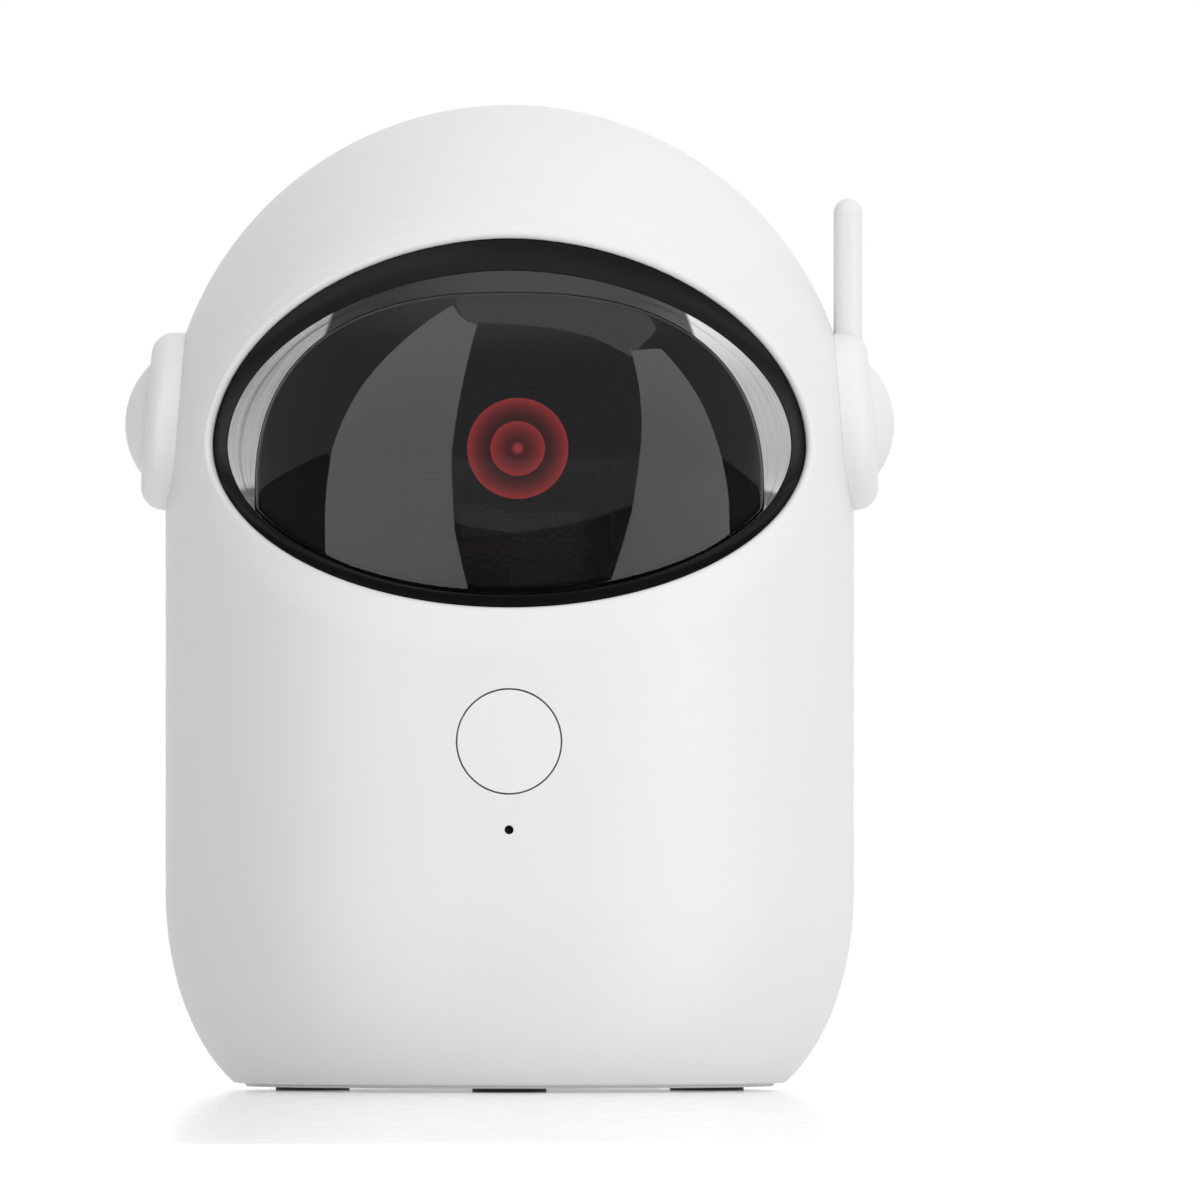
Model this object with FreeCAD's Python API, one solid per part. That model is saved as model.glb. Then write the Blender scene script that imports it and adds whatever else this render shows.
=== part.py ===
# Automatic cat laser toy: a helmet-shaped housing with a smoked visor, two ears, an antenna and
# a push button, holding a laser on a two-axis gear-driven turret.
# Millimetres. +Z is up, the front faces -Y, and the origin is the centre of the circle the feet stand on.
import FreeCAD
import Part
import math
import os

from FreeCAD import Vector

# Housing
overall_height = 120.0
housing_radius = 41.9
wall = 2.0
taper_top_z = 24.0          # the side is straight above this height and draws in below it
taper_depth = 15.5          # radial semi-axis of the elliptical taper
taper_height = 26.0         # vertical semi-axis of the elliptical taper
shell_bottom_z = 0.9
bottom_corner_radius = 0.9
dome_z = overall_height - housing_radius
lap_depth = 1.5             # tongue that locates one half of the housing in the other
fit = 0.1                   # clearance of a located or sliding plastic part

# Visor window, as seen from the front
window_side_land = 5.9      # housing left beside the window, seen from the front
window_half_width = housing_radius - window_side_land
window_top_land = 16.5      # housing left over the window
window_lift = 0.3           # height of its widest line over the dome centre
window_centre_z = dome_z + window_lift
window_rise = overall_height - window_top_land - window_centre_z
window_drop = 19.6
window_upper_power = 1.9    # exponent of the outline above its widest line
window_lower_power = 2.0
lip_width = 4.5             # of the slope that sinks from the housing's surface to the window's edge
lip_drop = 1.1              # of the slope, seen from the side
lip_brink_radius = 8.0      # where the slope starts
lip_rim_radius = 0.6        # at the window's edge
bezel_side = 1.7
bezel_top = 3.8
bezel_bottom = 1.5
bezel_inset = 1.5           # below the housing surface
visor_dome_inset = 2.0      # of the raised dome inside the arch
visor_inset = 2.9           # of the shoulder round it
visor_stretch = 1.43        # height of the dome's lower half, as a share of its radius
visor_thickness = 1.8
visor_arch_margin = 0.9     # from the mask's opening out to the arch
visor_step_wall = 1.2       # of the step, seen from the front
visor_step_radius = 0.5
visor_flange = 2.0          # overlap behind the housing wall
frame_thickness = 1.6
frame_side_land = 6.0       # width of the mask behind the visor, at the sides, the top and the bottom
frame_top_land = 6.5
frame_bottom_land = 2.7
frame_lowering = 6.1        # its widest line is this far under the dome centre
frame_power = 2.5
frame_half_width = window_half_width - frame_side_land
frame_centre_z = dome_z - frame_lowering
frame_rise = window_centre_z + window_rise - frame_top_land - frame_centre_z
frame_drop = frame_centre_z - (window_centre_z - window_drop + frame_bottom_land)

# Ears and antenna
ear_rise = 3.4              # height of the ear centre over the dome centre
ear_radius = 10.85
ear_stand = 2.5             # of the ear's flat face over the dome, along the ear's axis
ear_reach = housing_radius + ear_stand
ear_round = 2.8
ear_spigot_radius = 5.0
ear_spigot_depth = 3.6
ear_cap_radius = 6.75
ear_cap_rise = 2.55
ear_cap_seat = 0.8
ear_cap_pin_radius = 2.0
ear_cap_pin_length = 3.0
antenna_setback = 3.2       # of the antenna's axis from the ear's flat face
antenna_radius = 1.75
antenna_rise = 30.5         # of its tip over the dome centre
antenna_x = ear_reach - antenna_setback
antenna_top_z = dome_z + antenna_rise
antenna_socket_depth = 3.8

# Mechanism deck
deck_drop = 28.1            # from the dome centre to the deck's underside
deck_z = dome_z - deck_drop
deck_thickness = 2.0
deck_margin = 1.9           # gap between the deck and the housing wall
deck_radius = housing_radius - wall - deck_margin
deck_screw_inset = 12.0
deck_screw_x = deck_radius - deck_screw_inset
deck_screw_y = 20.0
deck_screw_depth = 8.0      # of the tip under the deck
deck_boss_radius = 3.0
deck_boss_length = 12.0
wire_slot_length = 14.0
wire_slot_width = 5.0
wire_slot_margin = 8.0      # from the deck's front edge to the middle of the slot

# Push button, its switch and the indicator behind a pinhole
button_drop = 7.4           # from the deck's underside to the button's axis
button_z = deck_z - button_drop
button_radius = 6.25
button_gap = 0.2
button_travel = 0.5
button_flange = 1.0
button_flange_thickness = 1.0
button_flange_gap = 0.24    # between the flange and the wall at rest
stem_radius = 1.5
pinhole_radius = 0.55
pinhole_drop = 10.7         # from the button's axis
pinhole_z = button_z - pinhole_drop
switch_width = 6.0
switch_height = 3.5
plunger_radius = 1.75
plunger_reach = 1.3
plunger_depth = 1.4
led_radius = 1.5
led_height = 4.2
led_collar = 0.3
led_collar_height = 1.0

# Control board
board_standoff = 7.5        # from the inside of the wall to the board
board_front_y = wall + board_standoff - housing_radius
board_thickness = 1.6
board_half_width = 19.0
board_height = 24.0
board_top_gap = 1.0         # under the deck
board_top_z = deck_z - board_top_gap
board_bottom_z = board_top_z - board_height
board_corner = 1.5
board_screw_inset_x = 3.0
board_screw_inset_low = 3.0
board_screw_inset_high = 3.5
board_screw_depth = 3.0     # of the tip in front of the board
board_boss_radius = 2.2
chip_half_width = 3.5
chip_standoff = 0.2
chip_height = 1.2
chip_leg_reach = 0.8
chip_leg_thickness = 0.3
chip_leg_pitch = 1.2
chip_legs = 5               # on each side
header_pitch = 2.0
header_end = 0.5            # beyond the outer ways
header_depth = 5.0
header_half_height = 2.0
header_wall = 0.8
header_height_on_board = 5.0
battery_header_x = -11.0
motor_header_x = 9.0

# Base cover, feet, cell and charging board
foot_height = 1.1
foot_radius = 4.5
foot_inset = 5.8            # from the plug's edge to the middle of a foot
base_bottom_z = 0.5
base_flange_setback = 1.3   # from the housing's outer edge
base_plug_gap = 0.26        # inside the housing's opening
base_top_z = 2.9
base_screw_x = 16.0
base_screw_inset = 4.19     # from the plug's edge
base_screw_tip_gap = 3.0
base_screw_head_height = 1.2
base_head_sink = 0.3
base_boss_radius = 2.8
base_boss_top_z = 12.0
blind_end = 1.5             # plastic left over the end of a blind screw hole
cell_radius = 7.1
cell_length = 50.0
cell_y = -2.0
cell_z = 12.5
cell_round = 0.8
cell_cap_radius = 2.8
cell_cap_height = 1.2
saddle_x = 16.0
saddle_thickness = 2.0
saddle_half_width = 9.0
saddle_top_z = 10.0
strap_thickness = 1.2
strap_half_width = 5.0
strap_tab = 5.6
strap_seat_z = 5.4
strap_post_radius = 2.2
strap_screw_sink = 0.5      # of its tip into the base cover
charge_board_z = 11.0
charge_board_half_width = 10.0
charge_board_length = 13.5
charge_post_x = 7.0
charge_post_inset = 3.0     # from the board's front edge
charge_post_radius = 2.2
charge_screw_depth = 4.0
charge_chip_size = (4.0, 3.5, 1.1)
charge_chip_inset = 1.5
socket_width = 9.0
socket_height = 3.2
socket_depth = 7.3
socket_setback = 0.52       # of its mouth from the inside of the wall
socket_overhang = 2.7       # of its mouth beyond the board
socket_wall = 0.3
socket_floor = 1.0
tongue_half_width = 3.3
tongue_thickness = 0.7
tongue_setback = 0.7
port_margin = 0.3

# Pan drive
gear_module = 0.5
pressure_angle = 25.0
gear_teeth = 60
pinion_teeth = 12
backlash = 0.06             # taken off each flank at the pitch circle
pan_gear_lift = 1.0         # over the deck's top face
pan_gear_z = deck_z + deck_thickness + pan_gear_lift
pan_gear_thickness = 3.0
pan_gear_dish = (7.0, 12.5) # radii of the groove under the gear
pan_gear_dish_depth = 1.0
pan_gear_boss_radius = 3.0
spigot_radius = 4.0
running_fit = 0.05
land_radius = 6.5
thrust_gap = 0.1
shaft_radius = 1.0
pan_motor_radius = 7.5
pan_motor_height = 11.0
pan_motor_flange = 1.0
pan_motor_screw_x = 9.5
pan_motor_ear_width = 5.0
pan_motor_bore_depth = 9.0
pan_shaft_depth = 8.0
shaft_clearance = 0.6       # of the deck's hole round the shaft
pan_pinion_gap = 0.2        # clearance over the deck land level and under the yoke floor

# Laser module
laser_x = 1.0
barrel_radius = 6.1
barrel_front_y = -19.0
barrel_back_y = 5.0
barrel_chamfer = 0.3
bore_end_y = -2.0
bore_step = 0.7
ring_seat_wall = 0.1
ring_depth = 1.0
outer_ring_inner_radius = 5.3
inner_ring_outer_radius = 3.3
inner_ring_inner_radius = 2.7
lens_bulge = 0.5

# Yoke, cradle and tilt drive
cradle_half_length = 4.0
cradle_wall = 1.5
cradle_radius = barrel_radius + fit / 2 + cradle_wall
trunnion_radius = 1.6
trunnion_shoulder_radius = 3.0
trunnion_shoulder_gap = 0.3
tilt_gear_gap = 1.55        # between the cradle's ring and its toothed sector
tilt_gear_x = laser_x + cradle_radius + tilt_gear_gap
tilt_gear_thickness = 2.0
tilt_gear_spare = 24.0      # degrees of teeth beyond the travel
sector_window = (5.5, 12.0) # radii of the openings in the sector
spoke_half_width = 0.9
yoke_floor = 2.0
yoke_floor_margin = 0.5
yoke_arm_gap = 0.6          # between the toothed sector and the arm
yoke_arm_inner_x = tilt_gear_x + tilt_gear_thickness + yoke_arm_gap
yoke_arm_thickness = 2.4
yoke_arm_half_depth = 5.0
yoke_gusset = 2.5
yoke_gusset_height = 6.0
yoke_gusset_half_width = 1.0
yoke_arm_outer_x = yoke_arm_inner_x + yoke_arm_thickness
yoke_floor_radius = math.hypot(yoke_arm_outer_x, yoke_arm_half_depth) + yoke_floor_margin
tilt_mesh_angle = -45.0     # direction of the pinion from the tilt axis, from +Y towards +Z
tilt_up = 8.0
tilt_down = 35.0
tilt_motor_length = 24.0
tilt_motor_depth = 12.0
tilt_motor_height = 10.0
tilt_motor_gap = 1.2        # between the motor's front and the toothed sector
tilt_motor_front_x = tilt_gear_x - tilt_motor_gap
tilt_gearbox_length = 9.0
tilt_bush_radius = 2.0
tilt_bush_length = 0.6
tilt_tail_radius = 2.5
tilt_shaft_depth = 6.0
clamp_thickness = 1.0
clamp_width = 6.0
clamp_right_x = tilt_motor_front_x - tilt_gearbox_length
clamp_left_x = clamp_right_x - clamp_width
clamp_tab = 4.0
clamp_tab_gap = 0.3
clamp_hook = 3.0
clamp_screw_inset = 1.0
hub_cap_radius = 6.0
hub_cap_thickness = 1.2

# Screws
screw_radius = 1.15
screw_hole_radius = 1.2
screw_clear_radius = 1.35
screw_head_radius = 2.2
screw_head_height = 1.6
small_screw_radius = 0.8
small_hole_radius = 0.85
small_clear_radius = 0.95
small_head_radius = 1.6
small_head_height = 1.2
housing_boss_radius = 3.6
housing_screw_seat_y = 4.0
housing_screw_engagement = 7.0
housing_screw_low_gap = 1.4 # between its post and the end of the cell
housing_screw_low_z = 16.0
housing_screw_high_x = 14.0
housing_screw_high_inset = 7.52
yoke_screw_x = yoke_arm_inner_x - yoke_gusset - fit - small_head_radius
screw_head_gap = 0.3        # round a head in its recess
screw_end_gap = 0.4         # of a tip from the far face of the plate that it holds

X = Vector(1, 0, 0)
Y = Vector(0, 1, 0)
Z = Vector(0, 0, 1)
FAR = 80.0
ON_SURFACE = 0.05           # how near an edge lies to the depth it is picked by


def box(x, y, z):
    """Box between the pairs of limits x, y and z."""
    return Part.makeBox(x[1] - x[0], y[1] - y[0], z[1] - z[0], Vector(x[0], y[0], z[0]))


def rod(radius, start, end):
    """Cylinder from one point to another."""
    start, end = Vector(*start), Vector(*end)
    return Part.makeCylinder(radius, (end - start).Length, start, end - start)


def tube(outer, inner, start, end):
    return rod(outer, start, end).cut(rod(inner, start, end))


def circle_edges(shape):
    return [e for e in shape.Edges if not e.Degenerated and isinstance(e.Curve, Part.Circle)]


def fuse(shapes):
    first, *rest = shapes
    return first.multiFuse(rest).removeSplitter() if rest else first


def mirror_x(shape):
    return shape.mirror(Vector(0, 0, 0), X)


def polygon_prism(points, direction):
    points = [Vector(*p) for p in points]
    return Part.Face(Part.makePolygon(points + points[:1])).extrude(direction)


def housing_solid(inset=0.0, bottom_z=shell_bottom_z):
    """Everything inside the housing's outer surface moved inwards by inset."""
    radius = housing_radius - inset
    centre = Vector(housing_radius - taper_depth, 0, taper_top_z)
    depth, height = taper_depth - inset, taper_height - inset
    lowest = centre - Z * height
    bottom_z = max(bottom_z, lowest.z)
    ellipse = Part.Ellipse(lowest, centre + X * depth, centre)
    start = math.acos((taper_top_z - bottom_z) / height)
    taper = Part.ArcOfEllipse(ellipse, start, math.pi / 2).toShape()
    foot = ellipse.value(start)
    shoulder = Vector(radius, 0, dome_z)
    crown = Vector(0, 0, dome_z + radius)
    bend = Vector(radius * math.cos(math.pi / 4), 0, dome_z + radius * math.sin(math.pi / 4))
    edges = [
        Part.makeLine(Vector(0, 0, bottom_z), foot),
        taper,
        Part.makeLine(Vector(radius, 0, taper_top_z), shoulder),
        Part.Arc(shoulder, bend, crown).toShape(),
        Part.makeLine(crown, Vector(0, 0, bottom_z)),
    ]
    return Part.Face(Part.Wire(edges)).revolve(Vector(0, 0, 0), Z, 360)


def visor_solid(inset):
    """Everything behind the visor's surface moved inwards by inset: a ball above and an egg below."""
    radius = housing_radius - inset
    centre, shoulder, crown = Vector(0, 0, dome_z), Vector(radius, 0, dome_z), Vector(0, 0, dome_z + radius)
    bend = Vector(radius * math.cos(math.pi / 4), 0, dome_z + radius * math.sin(math.pi / 4))
    nadir = Vector(0, 0, dome_z - radius * visor_stretch)
    egg = Part.ArcOfEllipse(Part.Ellipse(nadir, shoulder, centre), 0, math.pi / 2).toShape()
    edges = [egg, Part.Arc(shoulder, bend, crown).toShape(), Part.makeLine(crown, nadir)]
    return Part.Face(Part.Wire(edges)).revolve(Vector(0, 0, 0), Z, 360)


def layer(outer, inner):
    """Skin between two solids, front half only."""
    return outer.cut(inner).common(box((-FAR, FAR), (-FAR, 0), (-FAR, 2 * FAR)))


def oval_prism(half_width, rise, drop, centre_z, upper_power, lower_power):
    """Prism along Y with an oval outline: a superellipse above and another below its widest line."""
    points = []
    steps = 32
    for i in range(steps):
        angle = 2 * math.pi * i / steps
        c, s = math.cos(angle), math.sin(angle)
        height, power = (rise, upper_power) if s >= 0 else (drop, lower_power)
        x = half_width * math.copysign(abs(c) ** (2 / power), c)
        z = height * math.copysign(abs(s) ** (2 / power), s)
        points.append(Vector(x, -FAR, centre_z + z))
    curve = Part.BSplineCurve()
    curve.interpolate(Points=points, PeriodicFlag=True)
    return Part.Face(Part.Wire(curve.toShape())).extrude(Y * FAR)


def window_prism(grow=0.0):
    return oval_prism(window_half_width + grow, window_rise + grow, window_drop + grow,
                      window_centre_z, window_upper_power, window_lower_power)


def bezel_opening(grow=0.0):
    return oval_prism(window_half_width - bezel_side + grow, window_rise - bezel_top + grow,
                      window_drop - bezel_bottom + grow,
                      window_centre_z, window_upper_power, window_lower_power)


def housing_radius_at(z, inset=0.0):
    """Radius of the housing's side at height z, moved inwards by inset."""
    if z >= taper_top_z:
        return housing_radius - inset
    drop = (taper_top_z - z) / (taper_height - inset)
    return housing_radius - taper_depth + (taper_depth - inset) * math.sqrt(1 - drop ** 2)


def housing_screw_places():
    """(x, z) of the four screws that join the housing halves: two beside the cell and two in the dome."""
    low_x = cell_length / 2 + housing_screw_low_gap + housing_boss_radius
    reach = housing_radius - housing_screw_high_inset
    high_z = dome_z + math.sqrt(reach ** 2 - housing_screw_high_x ** 2)
    return [(side * x, z) for x, z in ((low_x, housing_screw_low_z), (housing_screw_high_x, high_z))
            for side in (-1, 1)]


def four_corners(x, y):
    return [(sx * x, sy * y) for sx in (-1, 1) for sy in (-1, 1)]


def base_plug_radius():
    return housing_radius_at(shell_bottom_z, wall) - base_plug_gap


def base_screw_y():
    return math.sqrt((base_plug_radius() - base_screw_inset) ** 2 - base_screw_x ** 2)


def deck_hole(x, y):
    """Blind screw hole in one of the deck's posts."""
    return rod(screw_hole_radius, (x, y, deck_z - deck_boss_length + blind_end), (x, y, deck_z + 1))


def base_hole(x, y):
    return rod(screw_hole_radius, (x, y, 0), (x, y, base_boss_top_z - blind_end))


def ear_axis():
    """Unit direction of the right ear from the dome centre, square to the dome."""
    lift = math.asin(ear_rise / housing_radius)
    return Vector(math.cos(lift), 0, math.sin(lift))


def along_ear(distance):
    return Vector(0, 0, dome_z) + ear_axis() * distance


def wall_boss(x, y, radius, z):
    """Vertical post beside the housing wall, with a rib that ties it to the wall."""
    reach = math.hypot(x, y)
    post = rod(radius, (x, y, z[0]), (x, y, z[1]))
    rib = box((reach, housing_radius), (-radius / 2, radius / 2), z)
    rib.rotate(Vector(0, 0, 0), Z, math.degrees(math.atan2(y, x)))
    return post.fuse(rib)


def screw(radius, head_radius, head_height, seat, tip):
    """Round-head screw whose head stands on seat and whose shank ends at tip."""
    seat, tip = Vector(*seat), Vector(*tip)
    out = (seat - tip).normalize()
    shank = Part.makeCylinder(radius, (seat - tip).Length, tip, out)
    head = Part.makeCylinder(head_radius, head_height, seat, out)
    top = [e for e in circle_edges(head) if (e.Curve.Center - seat).Length > head_height / 2]
    head = head.makeFillet(head_height * 0.45, top)
    slot_depth = head_height * 0.5
    driver = Part.makeCylinder(radius * 0.75, slot_depth, seat + out * (head_height - slot_depth), out)
    return shank.fuse(head).removeSplitter().cut(driver)


def involute(base_radius, radius):
    """Polar angle of the involute of base_radius where it reaches radius."""
    if radius <= base_radius:
        return 0.0
    roll = math.sqrt((radius / base_radius) ** 2 - 1)
    return roll - math.atan(roll)


def gear_profile(teeth, first_angle, count=None):
    """Face of an involute gear at the origin, with a tooth centred on first_angle (degrees).

    With count, only that many teeth are cut, spread evenly about first_angle, on a sector."""
    pitch_radius = gear_module * teeth / 2
    tip_radius = pitch_radius + gear_module
    root_radius = pitch_radius - 1.25 * gear_module
    base_radius = pitch_radius * math.cos(math.radians(pressure_angle))
    flank_start = max(base_radius, root_radius)
    half_tooth = math.pi / (2 * teeth) - backlash / pitch_radius + involute(base_radius, pitch_radius)
    pitch_angle = 2 * math.pi / teeth

    def at(radius, angle):
        return Vector(radius * math.cos(angle), radius * math.sin(angle), 0)

    def flank_angle(radius):
        return half_tooth - involute(base_radius, radius)

    middle_radius = (flank_start + tip_radius) / 2
    foot = flank_angle(flank_start)
    number = count or teeth
    first = math.radians(first_angle) - (pitch_angle * (number - 1) / 2 if count else 0)
    edges = []
    for i in range(number):
        centre = first + i * pitch_angle
        rising = [at(r, centre - flank_angle(r)) for r in (flank_start, middle_radius, tip_radius)]
        falling = [at(r, centre + flank_angle(r)) for r in (tip_radius, middle_radius, flank_start)]
        root_in, root_out = at(root_radius, centre - foot), at(root_radius, centre + foot)
        if root_radius < flank_start:
            edges.append(Part.makeLine(root_in, rising[0]))
        edges.append(Part.Arc(*rising).toShape())
        edges.append(Part.makeLine(rising[2], falling[0]))
        edges.append(Part.Arc(*falling).toShape())
        if root_radius < flank_start:
            edges.append(Part.makeLine(falling[2], root_out))
        if count is None or i < number - 1:
            edges.append(Part.makeLine(root_out, at(root_radius, centre + pitch_angle - foot)))
    if count is not None:
        start = edges[0].Vertexes[0].Point
        end = edges[-1].Vertexes[-1].Point
        edges.append(Part.makeLine(end, Vector(0, 0, 0)))
        edges.append(Part.makeLine(Vector(0, 0, 0), start))
    return Part.Face(Part.Wire(Part.__sortEdges__(edges)))


def gear_pitch_radius(teeth):
    return gear_module * teeth / 2


def gear_distance():
    return gear_pitch_radius(gear_teeth) + gear_pitch_radius(pinion_teeth)


def lie_along_x(shape):
    """Turns a shape drawn in XY and raised along Z so that its plane is YZ and it rises along X."""
    shape.rotate(Vector(0, 0, 0), Vector(1, 1, 1), 120)
    return shape


def housing_shell():
    outer = housing_solid()
    rim = [e for e in circle_edges(outer) if abs(e.Curve.Center.z - shell_bottom_z) < 0.01]
    return outer.makeFillet(bottom_corner_radius, rim).cut(housing_solid(wall, base_bottom_z))


def front_shell():
    half = box((-FAR, FAR), (-FAR, 0), (-FAR, 2 * FAR))
    shell = housing_shell().common(half)
    shell = sink_lip(shell.cut(window_prism()))
    inside = housing_solid(wall / 2)
    posts = [rod(housing_boss_radius, (x, -FAR, z), (x, 0, z)) for x, z in housing_screw_places()]
    posts += [wall_boss(x, -deck_screw_y, deck_boss_radius, (deck_z - deck_boss_length, deck_z))
              for x in (-deck_screw_x, deck_screw_x)]
    posts += [wall_boss(x, -base_screw_y(), base_boss_radius, (base_top_z + fit, base_boss_top_z))
              for x in (-base_screw_x, base_screw_x)]
    posts += [rod(board_boss_radius, (x, -FAR, z), (x, board_front_y, z)) for x, z in board_screw_places()]
    shell = fuse([shell] + [p.common(inside) for p in posts])
    cuts = [rod(screw_hole_radius, (x, -housing_screw_engagement - 1, z), (x, 1, z))
            for x, z in housing_screw_places()]
    cuts += [deck_hole(x, -deck_screw_y) for x in (-deck_screw_x, deck_screw_x)]
    cuts += [base_hole(x, -base_screw_y()) for x in (-base_screw_x, base_screw_x)]
    tip_y = board_front_y - board_screw_depth - fit
    cuts += [rod(small_hole_radius, (x, tip_y, z), (x, board_front_y + 1, z))
             for x, z in board_screw_places()]
    cuts.append(rod(button_radius + button_gap, (0, -FAR, button_z), (0, board_front_y, button_z)))
    cuts.append(rod(pinhole_radius, (0, -FAR, pinhole_z), (0, board_front_y, pinhole_z)))
    rebate = housing_solid(wall / 2 - fit / 2).cut(housing_solid(wall + 1))
    rebate = rebate.common(box((-FAR, FAR), (-lap_depth - fit, 1), (-FAR, 2 * FAR)))
    cuts.append(rebate.cut(screw_post_prisms()))
    cuts += ear_holes()
    return shell.cut(Part.makeCompound(cuts))


def sink_lip(shell):
    """Slopes the outer surface down to the window's edge, and rounds both edges of the slope."""
    shell = shell.makeChamfer(lip_width, lip_drop, lip_edges(shell, 0))
    shell = shell.makeFillet(lip_rim_radius, lip_edges(shell, lip_drop / 4, lip_drop))
    return shell.makeFillet(lip_brink_radius, lip_edges(shell, 0))


def lip_edges(shape, least, most=0.0):
    """Edges round the window that lie between two depths under the housing's outer surface."""
    reach = 2 * lip_width
    low, high = window_centre_z - window_drop - reach, window_centre_z + window_rise + reach
    found = []
    for edge in shape.Edges:
        if edge.Degenerated or is_seam(edge):
            continue
        points = points_along(edge)
        depths = [depth_under_surface(p) for p in points]
        near = all(p.y < -1 and low < p.z < high for p in points)
        if near and min(depths) >= least - ON_SURFACE and max(depths) <= most + ON_SURFACE:
            found.append(edge)
    return found


def points_along(edge, count=7):
    step = (edge.LastParameter - edge.FirstParameter) / count
    return [edge.valueAt(edge.FirstParameter + step * (i + 0.5)) for i in range(count)]


def depth_under_surface(point, stretch=math.inf):
    """How far inside the surface a point lies. Under the dome's level that is straight, or an egg."""
    height = point.z - dome_z
    return housing_radius - math.hypot(point.x, point.y, height if height > 0 else height / stretch)


def is_seam(edge):
    """True for edges that lie in the parting plane or on the level where the dome starts."""
    points = [v.Point for v in edge.Vertexes]
    return all(abs(p.y) < 0.01 for p in points) or all(abs(p.z - dome_z) < 0.01 for p in points)


def screw_post_prisms():
    return Part.makeCompound([rod(housing_boss_radius + fit, (x, -FAR, z), (x, FAR, z))
                              for x, z in housing_screw_places()])


def ear_holes():
    radius = ear_spigot_radius + fit
    hole = Part.makeCylinder(radius, ear_reach, along_ear(housing_radius / 2), ear_axis())
    return [hole, mirror_x(hole)]


def rear_shell():
    half = box((-FAR, FAR), (0, FAR), (-FAR, 2 * FAR))
    shell = housing_shell().common(half)
    tongue = housing_solid(wall / 2 + fit / 2).cut(housing_solid(wall, base_bottom_z))
    tongue = tongue.common(box((-FAR, FAR), (-lap_depth, 0), (base_top_z, 2 * FAR))).cut(screw_post_prisms())
    inside = housing_solid(wall / 2)
    posts = [rod(housing_boss_radius, (x, 0, z), (x, FAR, z)) for x, z in housing_screw_places()]
    posts += [wall_boss(x, deck_screw_y, deck_boss_radius, (deck_z - deck_boss_length, deck_z))
              for x in (-deck_screw_x, deck_screw_x)]
    posts += [wall_boss(x, base_screw_y(), base_boss_radius, (base_top_z + fit, base_boss_top_z))
              for x in (-base_screw_x, base_screw_x)]
    shell = fuse([shell, tongue] + [p.common(inside) for p in posts])
    cuts = [rod(screw_clear_radius, (x, -1, z), (x, FAR, z)) for x, z in housing_screw_places()]
    cuts += [rod(screw_head_radius + screw_head_gap, (x, housing_screw_seat_y, z), (x, FAR, z))
             for x, z in housing_screw_places()]
    cuts += [deck_hole(x, deck_screw_y) for x in (-deck_screw_x, deck_screw_x)]
    cuts += [base_hole(x, base_screw_y()) for x in (-base_screw_x, base_screw_x)]
    cuts.append(charge_port())
    cuts += ear_holes()
    return shell.cut(Part.makeCompound(cuts))


def socket_centre_z():
    return charge_board_z + board_thickness + socket_height / 2


def socket_mouth_y():
    return housing_radius_at(socket_centre_z(), wall) - socket_setback


def charge_board_back_y():
    return socket_mouth_y() - socket_overhang


def charge_board_front_y():
    return charge_board_back_y() - charge_board_length


def charge_post_places():
    return [(x, charge_board_front_y() + charge_post_inset) for x in (-charge_post_x, charge_post_x)]


def obround(width, height, y, centre_z):
    """Bar along Y with a round-ended section, wider than it is high."""
    offset = (width - height) / 2
    middle = box((-offset, offset), y, (centre_z - height / 2, centre_z + height / 2))
    ends = [rod(height / 2, (x, y[0], centre_z), (x, y[1], centre_z)) for x in (-offset, offset)]
    return fuse([middle] + ends)


def charge_port():
    return obround(socket_width + 2 * port_margin, socket_height + 2 * port_margin,
                   (charge_board_back_y(), FAR), socket_centre_z())


def housing_screws():
    return [screw(screw_radius, screw_head_radius, screw_head_height,
                  (x, housing_screw_seat_y, z), (x, -housing_screw_engagement, z))
            for x, z in housing_screw_places()]


def base_cover():
    flange_radius = housing_radius_at(shell_bottom_z) - base_flange_setback
    plate = fuse([
        rod(flange_radius, (0, 0, base_bottom_z), (0, 0, shell_bottom_z)),
        rod(base_plug_radius(), (0, 0, shell_bottom_z), (0, 0, base_top_z)),
    ])
    rim = [e for e in circle_edges(plate) if abs(e.Curve.Center.z - base_bottom_z) < 0.01]
    plate = plate.makeChamfer((shell_bottom_z - base_bottom_z) / 2, rim)
    saddles = [box((x - saddle_thickness / 2, x + saddle_thickness / 2),
                   (cell_y - saddle_half_width, cell_y + saddle_half_width), (base_top_z, saddle_top_z))
               for x in (-saddle_x, saddle_x)]
    strap_posts = [rod(strap_post_radius, (0, y, base_top_z), (0, y, strap_seat_z))
                   for y in strap_screw_ys()]
    charge_posts = [rod(charge_post_radius, (x, y, base_top_z), (x, y, charge_board_z))
                    for x, y in charge_post_places()]
    cover = fuse([plate] + saddles + strap_posts + charge_posts)
    cuts = [rod(cell_radius + fit, (-FAR, cell_y, cell_z), (FAR, cell_y, cell_z))]
    cuts += [rod(foot_radius + fit, (x, y, 0), (x, y, foot_height)) for x, y in foot_places()]
    for x, y in four_corners(base_screw_x, base_screw_y()):
        cuts.append(rod(screw_clear_radius, (x, y, 0), (x, y, base_top_z + 1)))
        cuts.append(rod(screw_head_radius + screw_head_gap, (x, y, 0), (x, y, base_screw_seat_z())))
    strap_hole_z = (base_top_z - 2 * strap_screw_sink, strap_seat_z + 1)
    cuts += [rod(small_hole_radius, (0, y, strap_hole_z[0]), (0, y, strap_hole_z[1]))
             for y in strap_screw_ys()]
    charge_hole_z = (charge_board_z - charge_screw_depth - 1, charge_board_z + 1)
    cuts += [rod(small_hole_radius, (x, y, charge_hole_z[0]), (x, y, charge_hole_z[1]))
             for x, y in charge_post_places()]
    return cover.cut(Part.makeCompound(cuts))


def base_screw_seat_z():
    return base_bottom_z + screw_head_height - base_head_sink


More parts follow.
